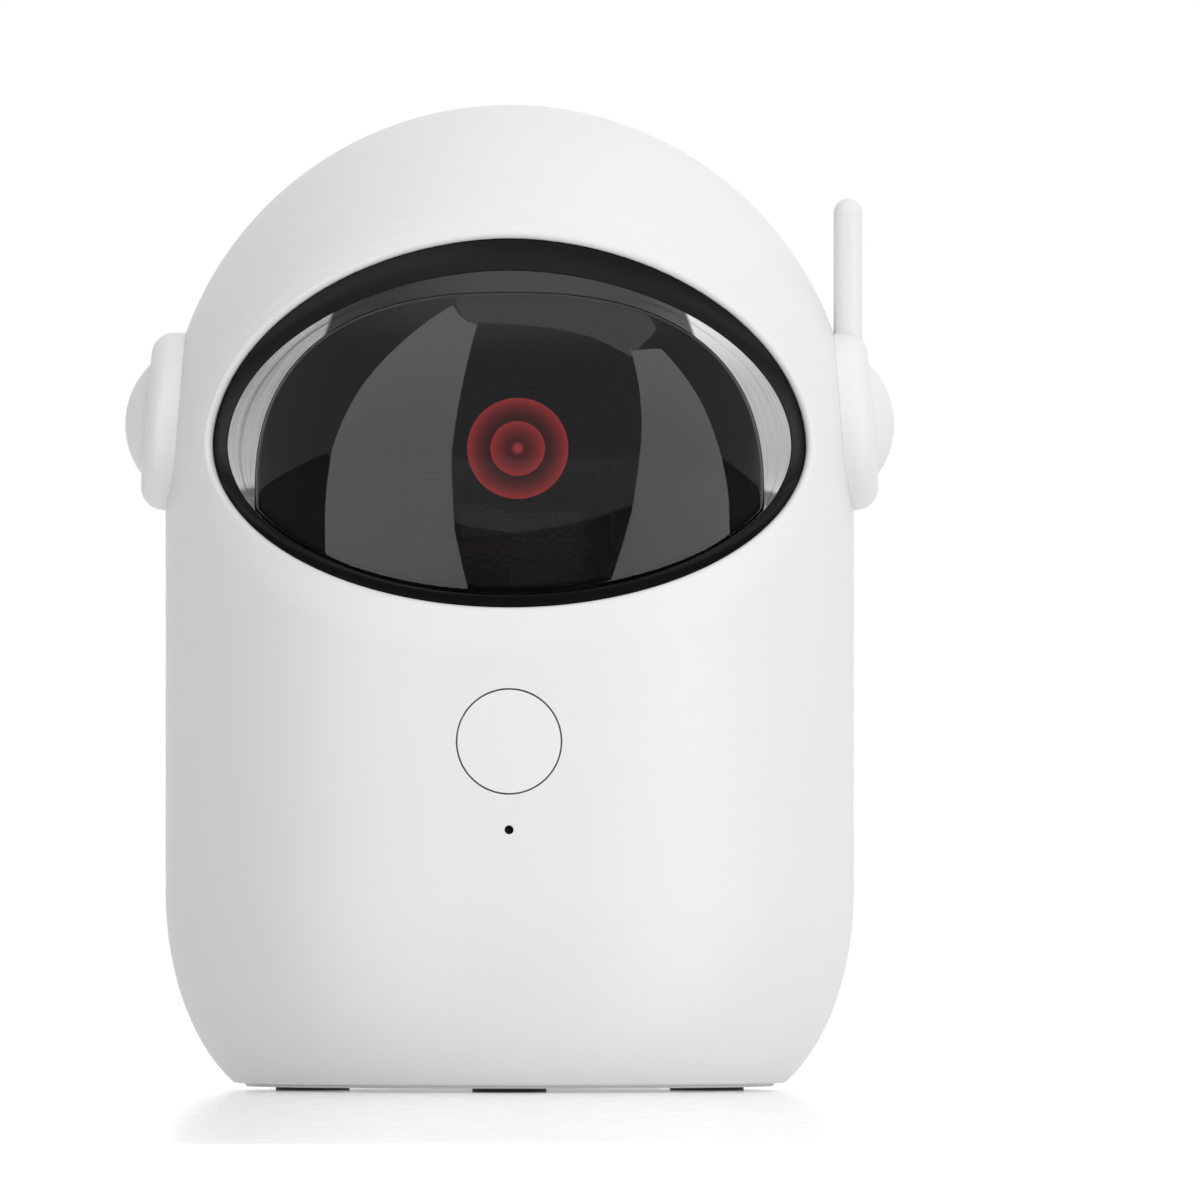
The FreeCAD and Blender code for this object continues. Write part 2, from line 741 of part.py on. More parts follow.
def foot_places():
    """Feet between the base screws: front, back, left and right."""
    reach = base_plug_radius() - foot_inset
    return [(reach, 0), (0, reach), (-reach, 0), (0, -reach)]


def foot_pads():
    return [rod(foot_radius, (x, y, 0), (x, y, foot_height)) for x, y in foot_places()]


def base_screws():
    return [screw(screw_radius, screw_head_radius, base_screw_head_height,
                  (x, y, base_screw_seat_z()), (x, y, base_boss_top_z - base_screw_tip_gap))
            for x, y in four_corners(base_screw_x, base_screw_y())]


def arch_prism(grow=0.0):
    """Outline of the visor's raised dome: round at the top, with straight sides down to the bezel."""
    half_width = frame_half_width + visor_arch_margin + grow
    top = oval_prism(half_width, frame_rise + grow, frame_rise, frame_centre_z, frame_power, frame_power)
    return top.fuse(box((-half_width, half_width), (-FAR, 0), (deck_z, frame_centre_z)))


def visor():
    """Smoked window: a flange and shoulder behind the housing's wall, and a raised dome inside the arch."""
    back = visor_solid(visor_inset + visor_thickness)
    flange = layer(housing_solid(wall + fit), back).common(window_prism(visor_flange).cut(window_prism()))
    shoulder = layer(visor_solid(visor_inset), back).common(window_prism(visor_flange))
    dome = layer(visor_solid(visor_dome_inset), back).common(arch_prism()).common(bezel_opening(-fit))
    dome = dome.makeFillet(visor_step_radius, [e for e in dome.Edges if dome_edge(e)])
    hollow = layer(visor_solid(visor_dome_inset + visor_thickness),
                   visor_solid(visor_inset + 2 * visor_thickness))
    hollow = hollow.common(arch_prism(-visor_step_wall)).common(bezel_opening(-visor_step_wall))
    return fuse([flange, shoulder, dome]).cut(hollow)


def dome_edge(edge):
    """True for the outline of the visor's raised dome."""
    if edge.Degenerated or is_seam(edge):
        return False
    depths = [depth_under_surface(p, visor_stretch) for p in points_along(edge)]
    return all(abs(depth - visor_dome_inset) < ON_SURFACE for depth in depths)


def visor_bezel():
    """Black ring between the window's edge and the dome, resting on the shoulder."""
    ring = layer(housing_solid(bezel_inset), visor_solid(visor_inset))
    return ring.common(window_prism(-fit)).cut(bezel_opening())


def visor_frame():
    """Black mask close behind the visor, whose opening has the arch's outline."""
    front = visor_inset + visor_thickness + fit
    mask = oval_prism(frame_half_width, frame_rise, frame_drop, frame_centre_z, frame_power, frame_power)
    return layer(visor_solid(front), visor_solid(front + frame_thickness)).common(window_prism()).cut(mask)


def ear_cup():
    """Right ear before it is mirrored: a round cup that fits the dome, with a spigot through the wall."""
    start = Vector(0, 0, dome_z) + ear_axis() * (housing_radius / 2)
    cup = Part.makeCylinder(ear_radius, ear_reach - housing_radius / 2, start, ear_axis())
    rim = [e for e in circle_edges(cup) if (e.Curve.Center - along_ear(ear_reach)).Length < 0.01]
    cup = cup.makeFillet(ear_round, rim).cut(housing_solid())
    spigot = Part.makeCylinder(ear_spigot_radius, ear_reach - housing_radius + ear_spigot_depth - 1,
                               along_ear(housing_radius - ear_spigot_depth), ear_axis())
    cup = cup.fuse(spigot).removeSplitter()
    seat = Part.makeCylinder(ear_cap_radius + fit, FAR, along_ear(ear_reach - ear_cap_seat), ear_axis())
    pin = Part.makeCylinder(ear_cap_pin_radius + fit, ear_cap_pin_length + fit,
                            along_ear(ear_reach - ear_cap_seat - ear_cap_pin_length - fit), ear_axis())
    return cup.cut(seat).cut(pin)


def ear_cap():
    """Domed button in the middle of the right ear, pressed into the cup with a pin."""
    ball_radius = (ear_cap_radius ** 2 + ear_cap_rise ** 2) / (2 * ear_cap_rise)
    seat = along_ear(ear_reach - ear_cap_seat)
    disc = Part.makeCylinder(ear_cap_radius, ear_cap_seat + ear_cap_rise, seat, ear_axis())
    ball = Part.makeSphere(ball_radius, along_ear(ear_reach + ear_cap_rise - ball_radius))
    pin = Part.makeCylinder(ear_cap_pin_radius, ear_cap_pin_length,
                            along_ear(ear_reach - ear_cap_seat - ear_cap_pin_length), ear_axis())
    return disc.common(ball).fuse(pin).removeSplitter()


def antenna_bottom_z():
    return dome_z + ear_rise + ear_radius - antenna_socket_depth


def antenna():
    bottom = antenna_bottom_z()
    mast = rod(antenna_radius, (antenna_x, 0, bottom), (antenna_x, 0, antenna_top_z - antenna_radius))
    tip = Part.makeSphere(antenna_radius, Vector(antenna_x, 0, antenna_top_z - antenna_radius))
    return mast.fuse(tip).removeSplitter().cut(housing_solid())


def right_ear_cup():
    socket = rod(antenna_radius + fit / 2, (antenna_x, 0, antenna_bottom_z()), (antenna_x, 0, antenna_top_z))
    return ear_cup().cut(socket)


def power_button():
    """Cap flush with the curved wall, with a flange behind the wall and a stem for the switch."""
    flange_radius = button_radius + button_flange
    skirt_y = button_flange_gap - math.sqrt((housing_radius - wall) ** 2 - flange_radius ** 2)
    cap = rod(button_radius, (0, -FAR, button_z), (0, skirt_y + fit, button_z)).common(housing_solid())
    flange = rod(flange_radius, (0, skirt_y, button_z), (0, skirt_y + button_flange_thickness, button_z))
    stem = rod(stem_radius, (0, skirt_y, button_z), (0, plunger_top_y() - running_fit, button_z))
    return fuse([cap, flange, stem])


def plunger_top_y():
    return board_front_y - switch_height - plunger_reach


def tact_switch():
    half = switch_width / 2
    front = board_front_y - switch_height
    body = box((-half, half), (front, board_front_y), (button_z - half, button_z + half))
    well_end = front + plunger_depth + button_travel + fit
    return body.cut(rod(plunger_radius + running_fit, (0, front - 1, button_z), (0, well_end, button_z)))


def switch_plunger():
    return rod(plunger_radius, (0, plunger_top_y(), button_z),
               (0, plunger_top_y() + plunger_reach + plunger_depth, button_z))


def status_led():
    shank_y = board_front_y - led_height + led_radius
    body = rod(led_radius, (0, shank_y, pinhole_z), (0, board_front_y, pinhole_z))
    collar = rod(led_radius + led_collar, (0, board_front_y - led_collar_height, pinhole_z),
                 (0, board_front_y, pinhole_z))
    return fuse([body, collar, Part.makeSphere(led_radius, Vector(0, shank_y, pinhole_z))])


def board_back_y():
    return board_front_y + board_thickness


def board_screw_places():
    x = board_half_width - board_screw_inset_x
    heights = (board_bottom_z + board_screw_inset_low, board_top_z - board_screw_inset_high)
    return [(side * x, z) for side in (-1, 1) for z in heights]


def control_board():
    board = box((-board_half_width, board_half_width), (board_front_y, board_back_y()),
                (board_bottom_z, board_top_z))
    corners = [e for e in board.Edges if abs(e.tangentAt(e.FirstParameter).y) > 0.99]
    board = board.makeFillet(board_corner, corners)
    holes = [rod(small_clear_radius, (x, -FAR, z), (x, 0, z)) for x, z in board_screw_places()]
    return board.cut(Part.makeCompound(holes))


def board_screws():
    return [screw(small_screw_radius, small_head_radius, small_head_height,
                  (x, board_back_y(), z), (x, board_front_y - board_screw_depth, z))
            for x, z in board_screw_places()]


def controller_chip():
    """Square chip on the back of the board with a row of legs on each side."""
    y = board_back_y()
    half = chip_half_width
    centre_z = (board_bottom_z + board_top_z) / 2
    chip = box((-half, half), (y + chip_standoff, y + chip_standoff + chip_height),
               (centre_z - half, centre_z + half))
    reach = half + chip_leg_reach
    offsets = [chip_leg_pitch * (i - (chip_legs - 1) / 2) for i in range(chip_legs)]
    leg_y = (y, y + chip_leg_thickness)
    half_leg = chip_leg_thickness / 2
    feet = [box((-reach, reach), leg_y, (centre_z + d - half_leg, centre_z + d + half_leg)) for d in offsets]
    feet += [box((d - half_leg, d + half_leg), leg_y, (centre_z - reach, centre_z + reach)) for d in offsets]
    return fuse([chip] + feet)


def wire_header(x, ways):
    """Open-topped connector on the back of the board, one slot for each pair of wires."""
    y = board_back_y()
    z = board_bottom_z + header_height_on_board
    left = x - header_pitch * ways / 2 - header_end
    body = box((left, 2 * x - left), (y, y + header_depth), (z - header_half_height, z + header_half_height))
    half_slot = header_half_height - header_wall
    slots = []
    for i in range(ways):
        centre = left + header_end + header_pitch * (i + 0.5)
        half_width = header_pitch / 2 - header_end + header_wall / 4
        slots.append(box((centre - half_width, centre + half_width), (y + header_wall, y + header_depth + 1),
                         (z - half_slot, z + half_slot)))
    return body.cut(Part.makeCompound(slots))


def battery_header():
    return wire_header(battery_header_x, 2)


def motor_header():
    return wire_header(motor_header_x, 4)


def battery_cell():
    half = cell_length / 2
    can_end = half - cell_cap_height
    can = rod(cell_radius, (-half, cell_y, cell_z), (can_end, cell_y, cell_z))
    cap = rod(cell_cap_radius, (can_end - wall / 2, cell_y, cell_z), (half, cell_y, cell_z))
    return can.makeFillet(cell_round, circle_edges(can)).fuse(cap)


def strap_screw_ys():
    offset = cell_radius + fit + strap_thickness + strap_tab / 2
    return (cell_y - offset, cell_y + offset)


def battery_strap():
    inner = cell_radius + fit
    outer = inner + strap_thickness
    x = (-strap_half_width, strap_half_width)
    arch = tube(outer, inner, (x[0], cell_y, cell_z), (x[1], cell_y, cell_z))
    arch = arch.common(box(x, (-FAR, FAR), (cell_z, FAR)))
    legs = [box(x, sorted((cell_y + side * inner, cell_y + side * outer)), (strap_seat_z, cell_z))
            for side in (-1, 1)]
    tabs = [box(x, sorted((cell_y + side * inner, cell_y + side * (outer + strap_tab))),
                (strap_seat_z, strap_seat_z + strap_thickness)) for side in (-1, 1)]
    strap = fuse([arch] + legs + tabs)
    holes = [rod(small_clear_radius, (0, y, 0), (0, y, strap_seat_z + 2)) for y in strap_screw_ys()]
    return strap.cut(Part.makeCompound(holes))


def strap_screws():
    return [screw(small_screw_radius, small_head_radius, small_head_height,
                  (0, y, strap_seat_z + strap_thickness), (0, y, base_top_z - strap_screw_sink))
            for y in strap_screw_ys()]


def charge_board():
    board = box((-charge_board_half_width, charge_board_half_width),
                (charge_board_front_y(), charge_board_back_y()),
                (charge_board_z, charge_board_z + board_thickness))
    holes = [rod(small_clear_radius, (x, y, 0), (x, y, FAR)) for x, y in charge_post_places()]
    return board.cut(Part.makeCompound(holes))


def charge_board_screws():
    top = charge_board_z + board_thickness
    return [screw(small_screw_radius, small_head_radius, small_head_height,
                  (x, y, top), (x, y, charge_board_z - charge_screw_depth)) for x, y in charge_post_places()]


def charge_chip():
    top = charge_board_z + board_thickness
    width, depth, height = charge_chip_size
    front = charge_board_front_y() + charge_chip_inset
    return box((-width / 2, width / 2), (front, front + depth), (top, top + height))


def usb_socket():
    """Metal-shelled charging socket with a tongue in its mouth."""
    y = (socket_mouth_y() - socket_depth, socket_mouth_y())
    z = socket_centre_z()
    shell = obround(socket_width, socket_height, y, z)
    mouth = obround(socket_width - 2 * socket_wall, socket_height - 2 * socket_wall,
                    (y[0] + socket_floor, y[1] + 1), z)
    tongue = box((-tongue_half_width, tongue_half_width), (y[0] + socket_floor / 2, y[1] - tongue_setback),
                 (z - tongue_thickness / 2, z + tongue_thickness / 2))
    return shell.cut(mouth).fuse(tongue)


def deck_top_z():
    return deck_z + deck_thickness


def hub_top_z():
    return pan_gear_z + pan_gear_thickness + yoke_floor + thrust_gap


def mechanism_deck():
    """Round plate that carries the turret on a hollow spigot and the pan motor under it."""
    distance = gear_distance()
    plate = rod(deck_radius, (0, 0, deck_z), (0, 0, deck_top_z()))
    land = rod(land_radius, (0, 0, deck_z), (0, 0, pan_gear_z - thrust_gap))
    spigot = rod(spigot_radius, (0, 0, deck_z), (0, 0, hub_top_z()))
    deck = fuse([plate, land, spigot])
    cuts = [rod(screw_hole_radius, (0, 0, 0), (0, 0, FAR))]
    cuts.append(rod(shaft_radius + shaft_clearance, (0, distance, 0), (0, distance, FAR)))
    cuts += [rod(screw_clear_radius, (x, y, 0), (x, y, FAR))
             for x, y in four_corners(deck_screw_x, deck_screw_y)]
    cuts += [rod(small_hole_radius, (x, distance, 0), (x, distance, FAR))
             for x in (-pan_motor_screw_x, pan_motor_screw_x)]
    cuts.append(obround_z(wire_slot_length, wire_slot_width, wire_slot_margin - deck_radius, (0, FAR)))
    return deck.cut(Part.makeCompound(cuts))


def obround_z(length, width, y, z):
    """Vertical bar with a round-ended section, long along X."""
    offset = (length - width) / 2
    middle = box((-offset, offset), (y - width / 2, y + width / 2), z)
    return fuse([middle] + [rod(width / 2, (x, y, z[0]), (x, y, z[1])) for x in (-offset, offset)])


def deck_screws():
    return [screw(screw_radius, screw_head_radius, screw_head_height,
                  (x, y, deck_top_z()), (x, y, deck_z - deck_screw_depth))
            for x, y in four_corners(deck_screw_x, deck_screw_y)]


def pan_motor():
    """Round geared motor with a two-eared flange against the underside of the deck."""
    y = gear_distance()
    flange_z = deck_z - pan_motor_flange
    can = rod(pan_motor_radius, (0, y, flange_z - pan_motor_height), (0, y, flange_z))
    ears = obround_z(2 * pan_motor_screw_x + pan_motor_ear_width, pan_motor_ear_width, y, (flange_z, deck_z))
    disc = rod(pan_motor_radius, (0, y, flange_z), (0, y, deck_z))
    motor = fuse([can, ears, disc])
    cuts = [rod(small_clear_radius, (x, y, 0), (x, y, FAR)) for x in (-pan_motor_screw_x, pan_motor_screw_x)]
    cuts.append(rod(shaft_radius + running_fit, (0, y, deck_z - pan_motor_bore_depth), (0, y, FAR)))
    return motor.cut(Part.makeCompound(cuts))


def pan_motor_screws():
    y = gear_distance()
    return [screw(small_screw_radius, small_head_radius, small_head_height,
                  (x, y, deck_z - pan_motor_flange), (x, y, deck_top_z() - screw_end_gap))
            for x in (-pan_motor_screw_x, pan_motor_screw_x)]


def pan_pinion_z():
    return (pan_gear_z + pan_pinion_gap, pan_gear_z + pan_gear_thickness - 2 * pan_pinion_gap)


def pan_motor_shaft():
    y = gear_distance()
    return rod(shaft_radius, (0, y, deck_z - pan_shaft_depth), (0, y, pan_pinion_z()[1]))


def pan_pinion():
    y = gear_distance()
    low, high = pan_pinion_z()
    gap_at_gear = -90 + 180 / pinion_teeth
    pinion = gear_profile(pinion_teeth, gap_at_gear).extrude(Z * (high - low))
    pinion.translate(Vector(0, y, low))
    return pinion.cut(rod(shaft_radius, (0, y, 0), (0, y, FAR)))


def pan_gear():
    gear = gear_profile(gear_teeth, 90).extrude(Z * pan_gear_thickness)
    gear.translate(Z * pan_gear_z)
    top = pan_gear_z + pan_gear_thickness
    cuts = [rod(spigot_radius + running_fit, (0, 0, 0), (0, 0, FAR))]
    cuts += [rod(small_hole_radius, (x, 0, 0), (x, 0, FAR)) for x in (-yoke_screw_x, yoke_screw_x)]
    inner, outer = pan_gear_dish
    dish = tube(outer, inner, (0, 0, pan_gear_z), (0, 0, pan_gear_z + pan_gear_dish_depth))
    web = [rod(pan_gear_boss_radius, (x, 0, pan_gear_z), (x, 0, top)) for x in (-yoke_screw_x, yoke_screw_x)]
    cuts.append(dish.cut(Part.makeCompound(web)))
    return gear.cut(Part.makeCompound(cuts))


def tilt_pinion_place():
    """(y, z) of the tilt pinion's axis."""
    angle = math.radians(tilt_mesh_angle)
    return gear_distance() * math.cos(angle), dome_z + gear_distance() * math.sin(angle)


def tilt_motor_limits():
    y, z = tilt_pinion_place()
    return ((tilt_motor_front_x - tilt_motor_length, tilt_motor_front_x),
            (y - tilt_motor_depth / 2, y + tilt_motor_depth / 2),
            (z - tilt_motor_height / 2, z + tilt_motor_height / 2))


def yoke():
    """Turntable floor with two arms for the cradle and a seat for the tilt motor."""
    floor_z = pan_gear_z + pan_gear_thickness
    top_z = floor_z + yoke_floor
    _, my, mz = tilt_motor_limits()
    floor = rod(yoke_floor_radius, (0, 0, floor_z), (0, 0, top_z))
    seat_x = (clamp_left_x - clamp_tab, clamp_right_x + clamp_tab)
    tongue = box(seat_x, (0, my[1] + clamp_thickness + clamp_tab), (floor_z, top_z))
    seat = box(seat_x, my, (top_z, mz[0]))
    arm_x = (yoke_arm_inner_x, yoke_arm_inner_x + yoke_arm_thickness)
    arm = box(arm_x, (-yoke_arm_half_depth, yoke_arm_half_depth), (floor_z, dome_z))
    arm = arm.fuse(rod(yoke_arm_half_depth, (arm_x[0], 0, dome_z), (arm_x[1], 0, dome_z)))
    arm = arm.cut(rod(trunnion_radius + running_fit, (0, 0, dome_z), (FAR, 0, dome_z)))
    half = yoke_gusset_half_width
    gusset = polygon_prism([(arm_x[0], -half, top_z), (arm_x[0] - yoke_gusset, -half, top_z),
                            (arm_x[0], -half, top_z + yoke_gusset_height)], Y * 2 * half)
    side = fuse([arm, gusset])
    solid = fuse([floor, tongue, seat, side, mirror_x(side)])
    cuts = [rod(spigot_radius + running_fit, (0, 0, 0), (0, 0, FAR))]
    cuts += [rod(small_clear_radius, (x, 0, 0), (x, 0, dome_z - cradle_radius))
             for x in (-yoke_screw_x, yoke_screw_x)]
    cuts += [rod(small_hole_radius, (x, y, floor_z - 1), (x, y, FAR)) for x, y in clamp_screw_places()]
    return solid.cut(Part.makeCompound(cuts))


def yoke_screws():
    top_z = pan_gear_z + pan_gear_thickness + yoke_floor
    return [screw(small_screw_radius, small_head_radius, small_head_height,
                  (x, 0, top_z), (x, 0, pan_gear_z + screw_end_gap)) for x in (-yoke_screw_x, yoke_screw_x)]


def hub_cap():
    cap = rod(hub_cap_radius, (0, 0, hub_top_z()), (0, 0, hub_top_z() + hub_cap_thickness))
    return cap.cut(rod(screw_clear_radius, (0, 0, 0), (0, 0, FAR)))


def hub_screw():
    seat = hub_top_z() + hub_cap_thickness
    return screw(screw_radius, screw_head_radius, screw_head_height, (0, 0, seat), (0, 0, deck_z + 1))


def tilt_motor():
    """Flat-sided geared motor lying across the yoke, its shaft to the right."""
    x, my, mz = tilt_motor_limits()
    y, z = tilt_pinion_place()
    gearbox_x = x[1] - tilt_gearbox_length
    gearbox = box((gearbox_x, x[1]), my, mz)
    can = rod(tilt_motor_depth / 2, (x[0], y, z), (gearbox_x, y, z)).common(box(x, my, mz))
    bush = rod(tilt_bush_radius, (x[1], y, z), (x[1] + tilt_bush_length, y, z))
    tail = rod(tilt_tail_radius, (x[0] - tilt_bush_length, y, z), (x[0], y, z))
    bore = rod(shaft_radius + running_fit, (x[1] - tilt_shaft_depth - fit, y, z), (x[1] + 2, y, z))
    return fuse([gearbox, can, bush, tail]).cut(bore)


def clamp_screw_places():
    """The clamp's tabs stand left and right of the motor's flat, behind it."""
    _, my, _ = tilt_motor_limits()
    y = my[1] + clamp_thickness + clamp_tab / 2
    return [(x, y) for x in (clamp_left_x + clamp_screw_inset, clamp_right_x - clamp_screw_inset)]


def tilt_motor_clamp():
    """Bent strap: hooks over the motor and is screwed down behind it."""
    _, my, mz = tilt_motor_limits()
    x = (clamp_left_x, clamp_right_x)
    seat_z = pan_gear_z + pan_gear_thickness + yoke_floor
    inner_y = (my[0] - fit, my[1] + fit)
    outer_y = (inner_y[0] - clamp_thickness, inner_y[1] + clamp_thickness)
    top = (mz[1] + fit / 2, mz[1] + fit / 2 + clamp_thickness)
    over = box(x, outer_y, top)
    hook = box(x, (outer_y[0], inner_y[0]), (mz[1] - clamp_hook, top[1]))
    leg = box(x, (inner_y[1], outer_y[1]), (seat_z, top[1]))
    tab = box(x, (inner_y[1], outer_y[1] + clamp_tab - clamp_tab_gap), (seat_z, seat_z + clamp_thickness))
    clamp = fuse([over, hook, leg, tab])
    return clamp.cut(Part.makeCompound([rod(small_clear_radius, (sx, sy, 0), (sx, sy, seat_z + 2))
                                        for sx, sy in clamp_screw_places()]))


def clamp_screws():
    seat_z = pan_gear_z + pan_gear_thickness + yoke_floor + clamp_thickness
    tip_z = pan_gear_z + pan_gear_thickness + pan_pinion_gap
    return [screw(small_screw_radius, small_head_radius, small_head_height, (x, y, seat_z), (x, y, tip_z))
            for x, y in clamp_screw_places()]


def tilt_motor_shaft():
    y, z = tilt_pinion_place()
    return rod(shaft_radius, (tilt_motor_front_x - tilt_shaft_depth, y, z),
               (tilt_gear_x + tilt_gear_thickness, y, z))


def tilt_pinion():
    y, z = tilt_pinion_place()
    thickness = tilt_gear_thickness - 2 * fit
    gap_at_gear = tilt_mesh_angle + 180 + 180 / pinion_teeth
    pinion = lie_along_x(gear_profile(pinion_teeth, gap_at_gear).extrude(Z * thickness))
    pinion.translate(Vector(tilt_gear_x + fit, y, z))
    return pinion.cut(rod(shaft_radius, (0, y, z), (FAR, y, z)))


def laser_cradle():
    """Ring that clamps the laser, with a trunnion each side and a toothed sector on the right one."""
    y = (-cradle_half_length, cradle_half_length)
    ring = rod(cradle_radius, (laser_x, y[0], dome_z), (laser_x, y[1], dome_z))
    trunnion = rod(trunnion_radius, (-yoke_arm_inner_x - yoke_arm_thickness, 0, dome_z),
                   (yoke_arm_inner_x + yoke_arm_thickness, 0, dome_z))
    shoulder_x = yoke_arm_inner_x - trunnion_shoulder_gap
    shoulder = rod(trunnion_shoulder_radius, (-shoulder_x, 0, dome_z), (shoulder_x, 0, dome_z))
    reach = tilt_up + tilt_down
    count = math.ceil((reach + tilt_gear_spare) / (360 / gear_teeth))
    shift = round((tilt_up - tilt_down) / 2 / (360 / gear_teeth)) * (360 / gear_teeth)
    middle = tilt_mesh_angle + shift + (180 / gear_teeth if count % 2 == 0 else 0)
    sector = lie_along_x(gear_profile(gear_teeth, middle, count).extrude(Z * tilt_gear_thickness))
    inner, outer = sector_window
    window = tube(outer, inner, (0, 0, 0), (tilt_gear_thickness, 0, 0))
    spread = math.radians(reach / 2 + 2)
    aim = math.radians(middle)
    rays = [(0, FAR * math.cos(a), FAR * math.sin(a)) for a in (aim - spread, aim, aim + spread)]
    wedge = polygon_prism([(0, 0, 0)] + rays, X * tilt_gear_thickness)
    spoke = box((0, tilt_gear_thickness), (0, outer + 1), (-spoke_half_width, spoke_half_width))
    spoke.rotate(Vector(0, 0, 0), X, middle)
    sector = sector.cut(window.common(wedge).cut(spoke))
    sector.translate(Vector(tilt_gear_x, 0, dome_z))
    bore = rod(barrel_radius + fit / 2, (laser_x, -FAR, dome_z), (laser_x, FAR, dome_z))
    return fuse([ring, trunnion, shoulder, sector]).cut(bore)


def laser_barrel():
    """Brass tube with a stepped mouth for the rings and a smaller wire end."""
    barrel = rod(barrel_radius, (laser_x, barrel_front_y, dome_z), (laser_x, barrel_back_y, dome_z))
    barrel = barrel.makeChamfer(barrel_chamfer, circle_edges(barrel))
    ahead = (laser_x, barrel_front_y - 1, dome_z)
    seat = (laser_x, barrel_front_y + ring_depth, dome_z)
    mouth = rod(outer_ring_inner_radius, ahead, seat)
    ring_seat = tube(barrel_radius + 1, outer_ring_inner_radius - ring_seat_wall, ahead, seat)
    bore = rod(inner_ring_inner_radius - bore_step, seat, (laser_x, bore_end_y, dome_z))
    return barrel.cut(mouth).cut(ring_seat).cut(bore)


def front_disc(outer, inner, depth=ring_depth):
    return tube(outer, inner, (laser_x, barrel_front_y, dome_z), (laser_x, barrel_front_y + depth, dome_z))


def outer_light_ring():
    return front_disc(barrel_radius, outer_ring_inner_radius)


def aperture_plate():
    return front_disc(outer_ring_inner_radius, inner_ring_outer_radius)


def inner_light_ring():
    return front_disc(inner_ring_outer_radius, inner_ring_inner_radius)


def laser_lens():
    radius = inner_ring_inner_radius
    ball_radius = (radius ** 2 + lens_bulge ** 2) / (2 * lens_bulge)
    body = rod(radius, (laser_x, barrel_front_y - lens_bulge, dome_z),
               (laser_x, barrel_front_y + ring_depth, dome_z))
    centre = Vector(laser_x, barrel_front_y - lens_bulge + ball_radius, dome_z)
    return body.common(Part.makeSphere(ball_radius, centre))


def parts():
    return {
        "front_shell": front_shell(),
        "rear_shell": rear_shell(),
        "housing_screws": housing_screws(),
        "base_cover": base_cover(),
        "base_screws": base_screws(),
        "foot_pads": foot_pads(),
        "visor": visor(),
        "visor_bezel": visor_bezel(),
        "visor_frame": visor_frame(),
        "left_ear_cup": mirror_x(ear_cup()),
        "right_ear_cup": right_ear_cup(),
        "left_ear_cap": mirror_x(ear_cap()),
        "right_ear_cap": ear_cap(),
        "antenna": antenna(),
        "power_button": power_button(),
        "tact_switch": tact_switch(),
        "switch_plunger": switch_plunger(),
        "status_led": status_led(),
        "control_board": control_board(),
        "board_screws": board_screws(),
        "controller_chip": controller_chip(),
        "battery_header": battery_header(),
        "motor_header": motor_header(),
        "battery_cell": battery_cell(),
        "battery_strap": battery_strap(),
        "strap_screws": strap_screws(),
        "charge_board": charge_board(),
        "charge_board_screws": charge_board_screws(),
        "charge_chip": charge_chip(),
        "usb_socket": usb_socket(),
        "mechanism_deck": mechanism_deck(),
        "deck_screws": deck_screws(),
        "pan_motor": pan_motor(),
        "pan_motor_screws": pan_motor_screws(),
        "pan_motor_shaft": pan_motor_shaft(),
        "pan_pinion": pan_pinion(),
        "pan_gear": pan_gear(),
        "yoke": yoke(),
        "yoke_screws": yoke_screws(),
        "hub_cap": hub_cap(),
        "hub_screw": hub_screw(),
        "tilt_motor": tilt_motor(),
        "tilt_motor_clamp": tilt_motor_clamp(),
        "clamp_screws": clamp_screws(),
        "tilt_motor_shaft": tilt_motor_shaft(),
        "tilt_pinion": tilt_pinion(),
        "laser_cradle": laser_cradle(),
        "laser_barrel": laser_barrel(),
        "outer_light_ring": outer_light_ring(),
        "aperture_plate": aperture_plate(),
        "inner_light_ring": inner_light_ring(),
        "laser_lens": laser_lens(),
    }


def main():
    os.makedirs("parts", exist_ok=True)
    for name, shape in parts().items():
        if isinstance(shape, list):
            shape = Part.makeCompound(shape)
        shape.exportStep(f"parts/{name}.step")
        print(name, "solids", len(shape.Solids), "valid", shape.isValid(), "volume", round(shape.Volume, 1))


main()
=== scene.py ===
"""Automatic cat laser toy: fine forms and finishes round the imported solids, and a plain studio.

Lengths are metres in the solids' own frame: +Z is up and the front faces -Y.
"""
import math

import bmesh
import bpy
import numpy as np
from bpy.props import FloatProperty, FloatVectorProperty, PointerProperty
from bpy.types import Operator, Panel, PropertyGroup
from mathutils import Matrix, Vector


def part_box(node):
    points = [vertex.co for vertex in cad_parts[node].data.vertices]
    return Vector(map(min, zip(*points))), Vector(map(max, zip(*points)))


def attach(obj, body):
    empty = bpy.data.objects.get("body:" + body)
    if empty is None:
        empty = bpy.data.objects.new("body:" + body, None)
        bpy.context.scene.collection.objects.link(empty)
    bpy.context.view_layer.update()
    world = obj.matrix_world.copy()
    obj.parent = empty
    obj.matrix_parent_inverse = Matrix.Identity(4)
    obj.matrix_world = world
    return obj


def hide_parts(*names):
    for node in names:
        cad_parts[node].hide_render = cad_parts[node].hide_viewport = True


bl_info = {
    "name": "Cat Laser Toy Finishes",
    "version": (1, 0, 0),
    "blender": (4, 5, 0),
    "location": "3D View > Sidebar > Laser Toy",
    "description": "Builds the visor and its trim, and gives every part of the toy its finish",
    "category": "Object",
}

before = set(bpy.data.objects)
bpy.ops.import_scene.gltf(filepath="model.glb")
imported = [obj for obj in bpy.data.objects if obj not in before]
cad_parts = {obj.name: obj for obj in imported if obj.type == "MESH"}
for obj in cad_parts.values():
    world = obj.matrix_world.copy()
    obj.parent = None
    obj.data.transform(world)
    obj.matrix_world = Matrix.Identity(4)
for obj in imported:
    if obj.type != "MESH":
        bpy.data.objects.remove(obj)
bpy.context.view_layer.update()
MM = 0.001

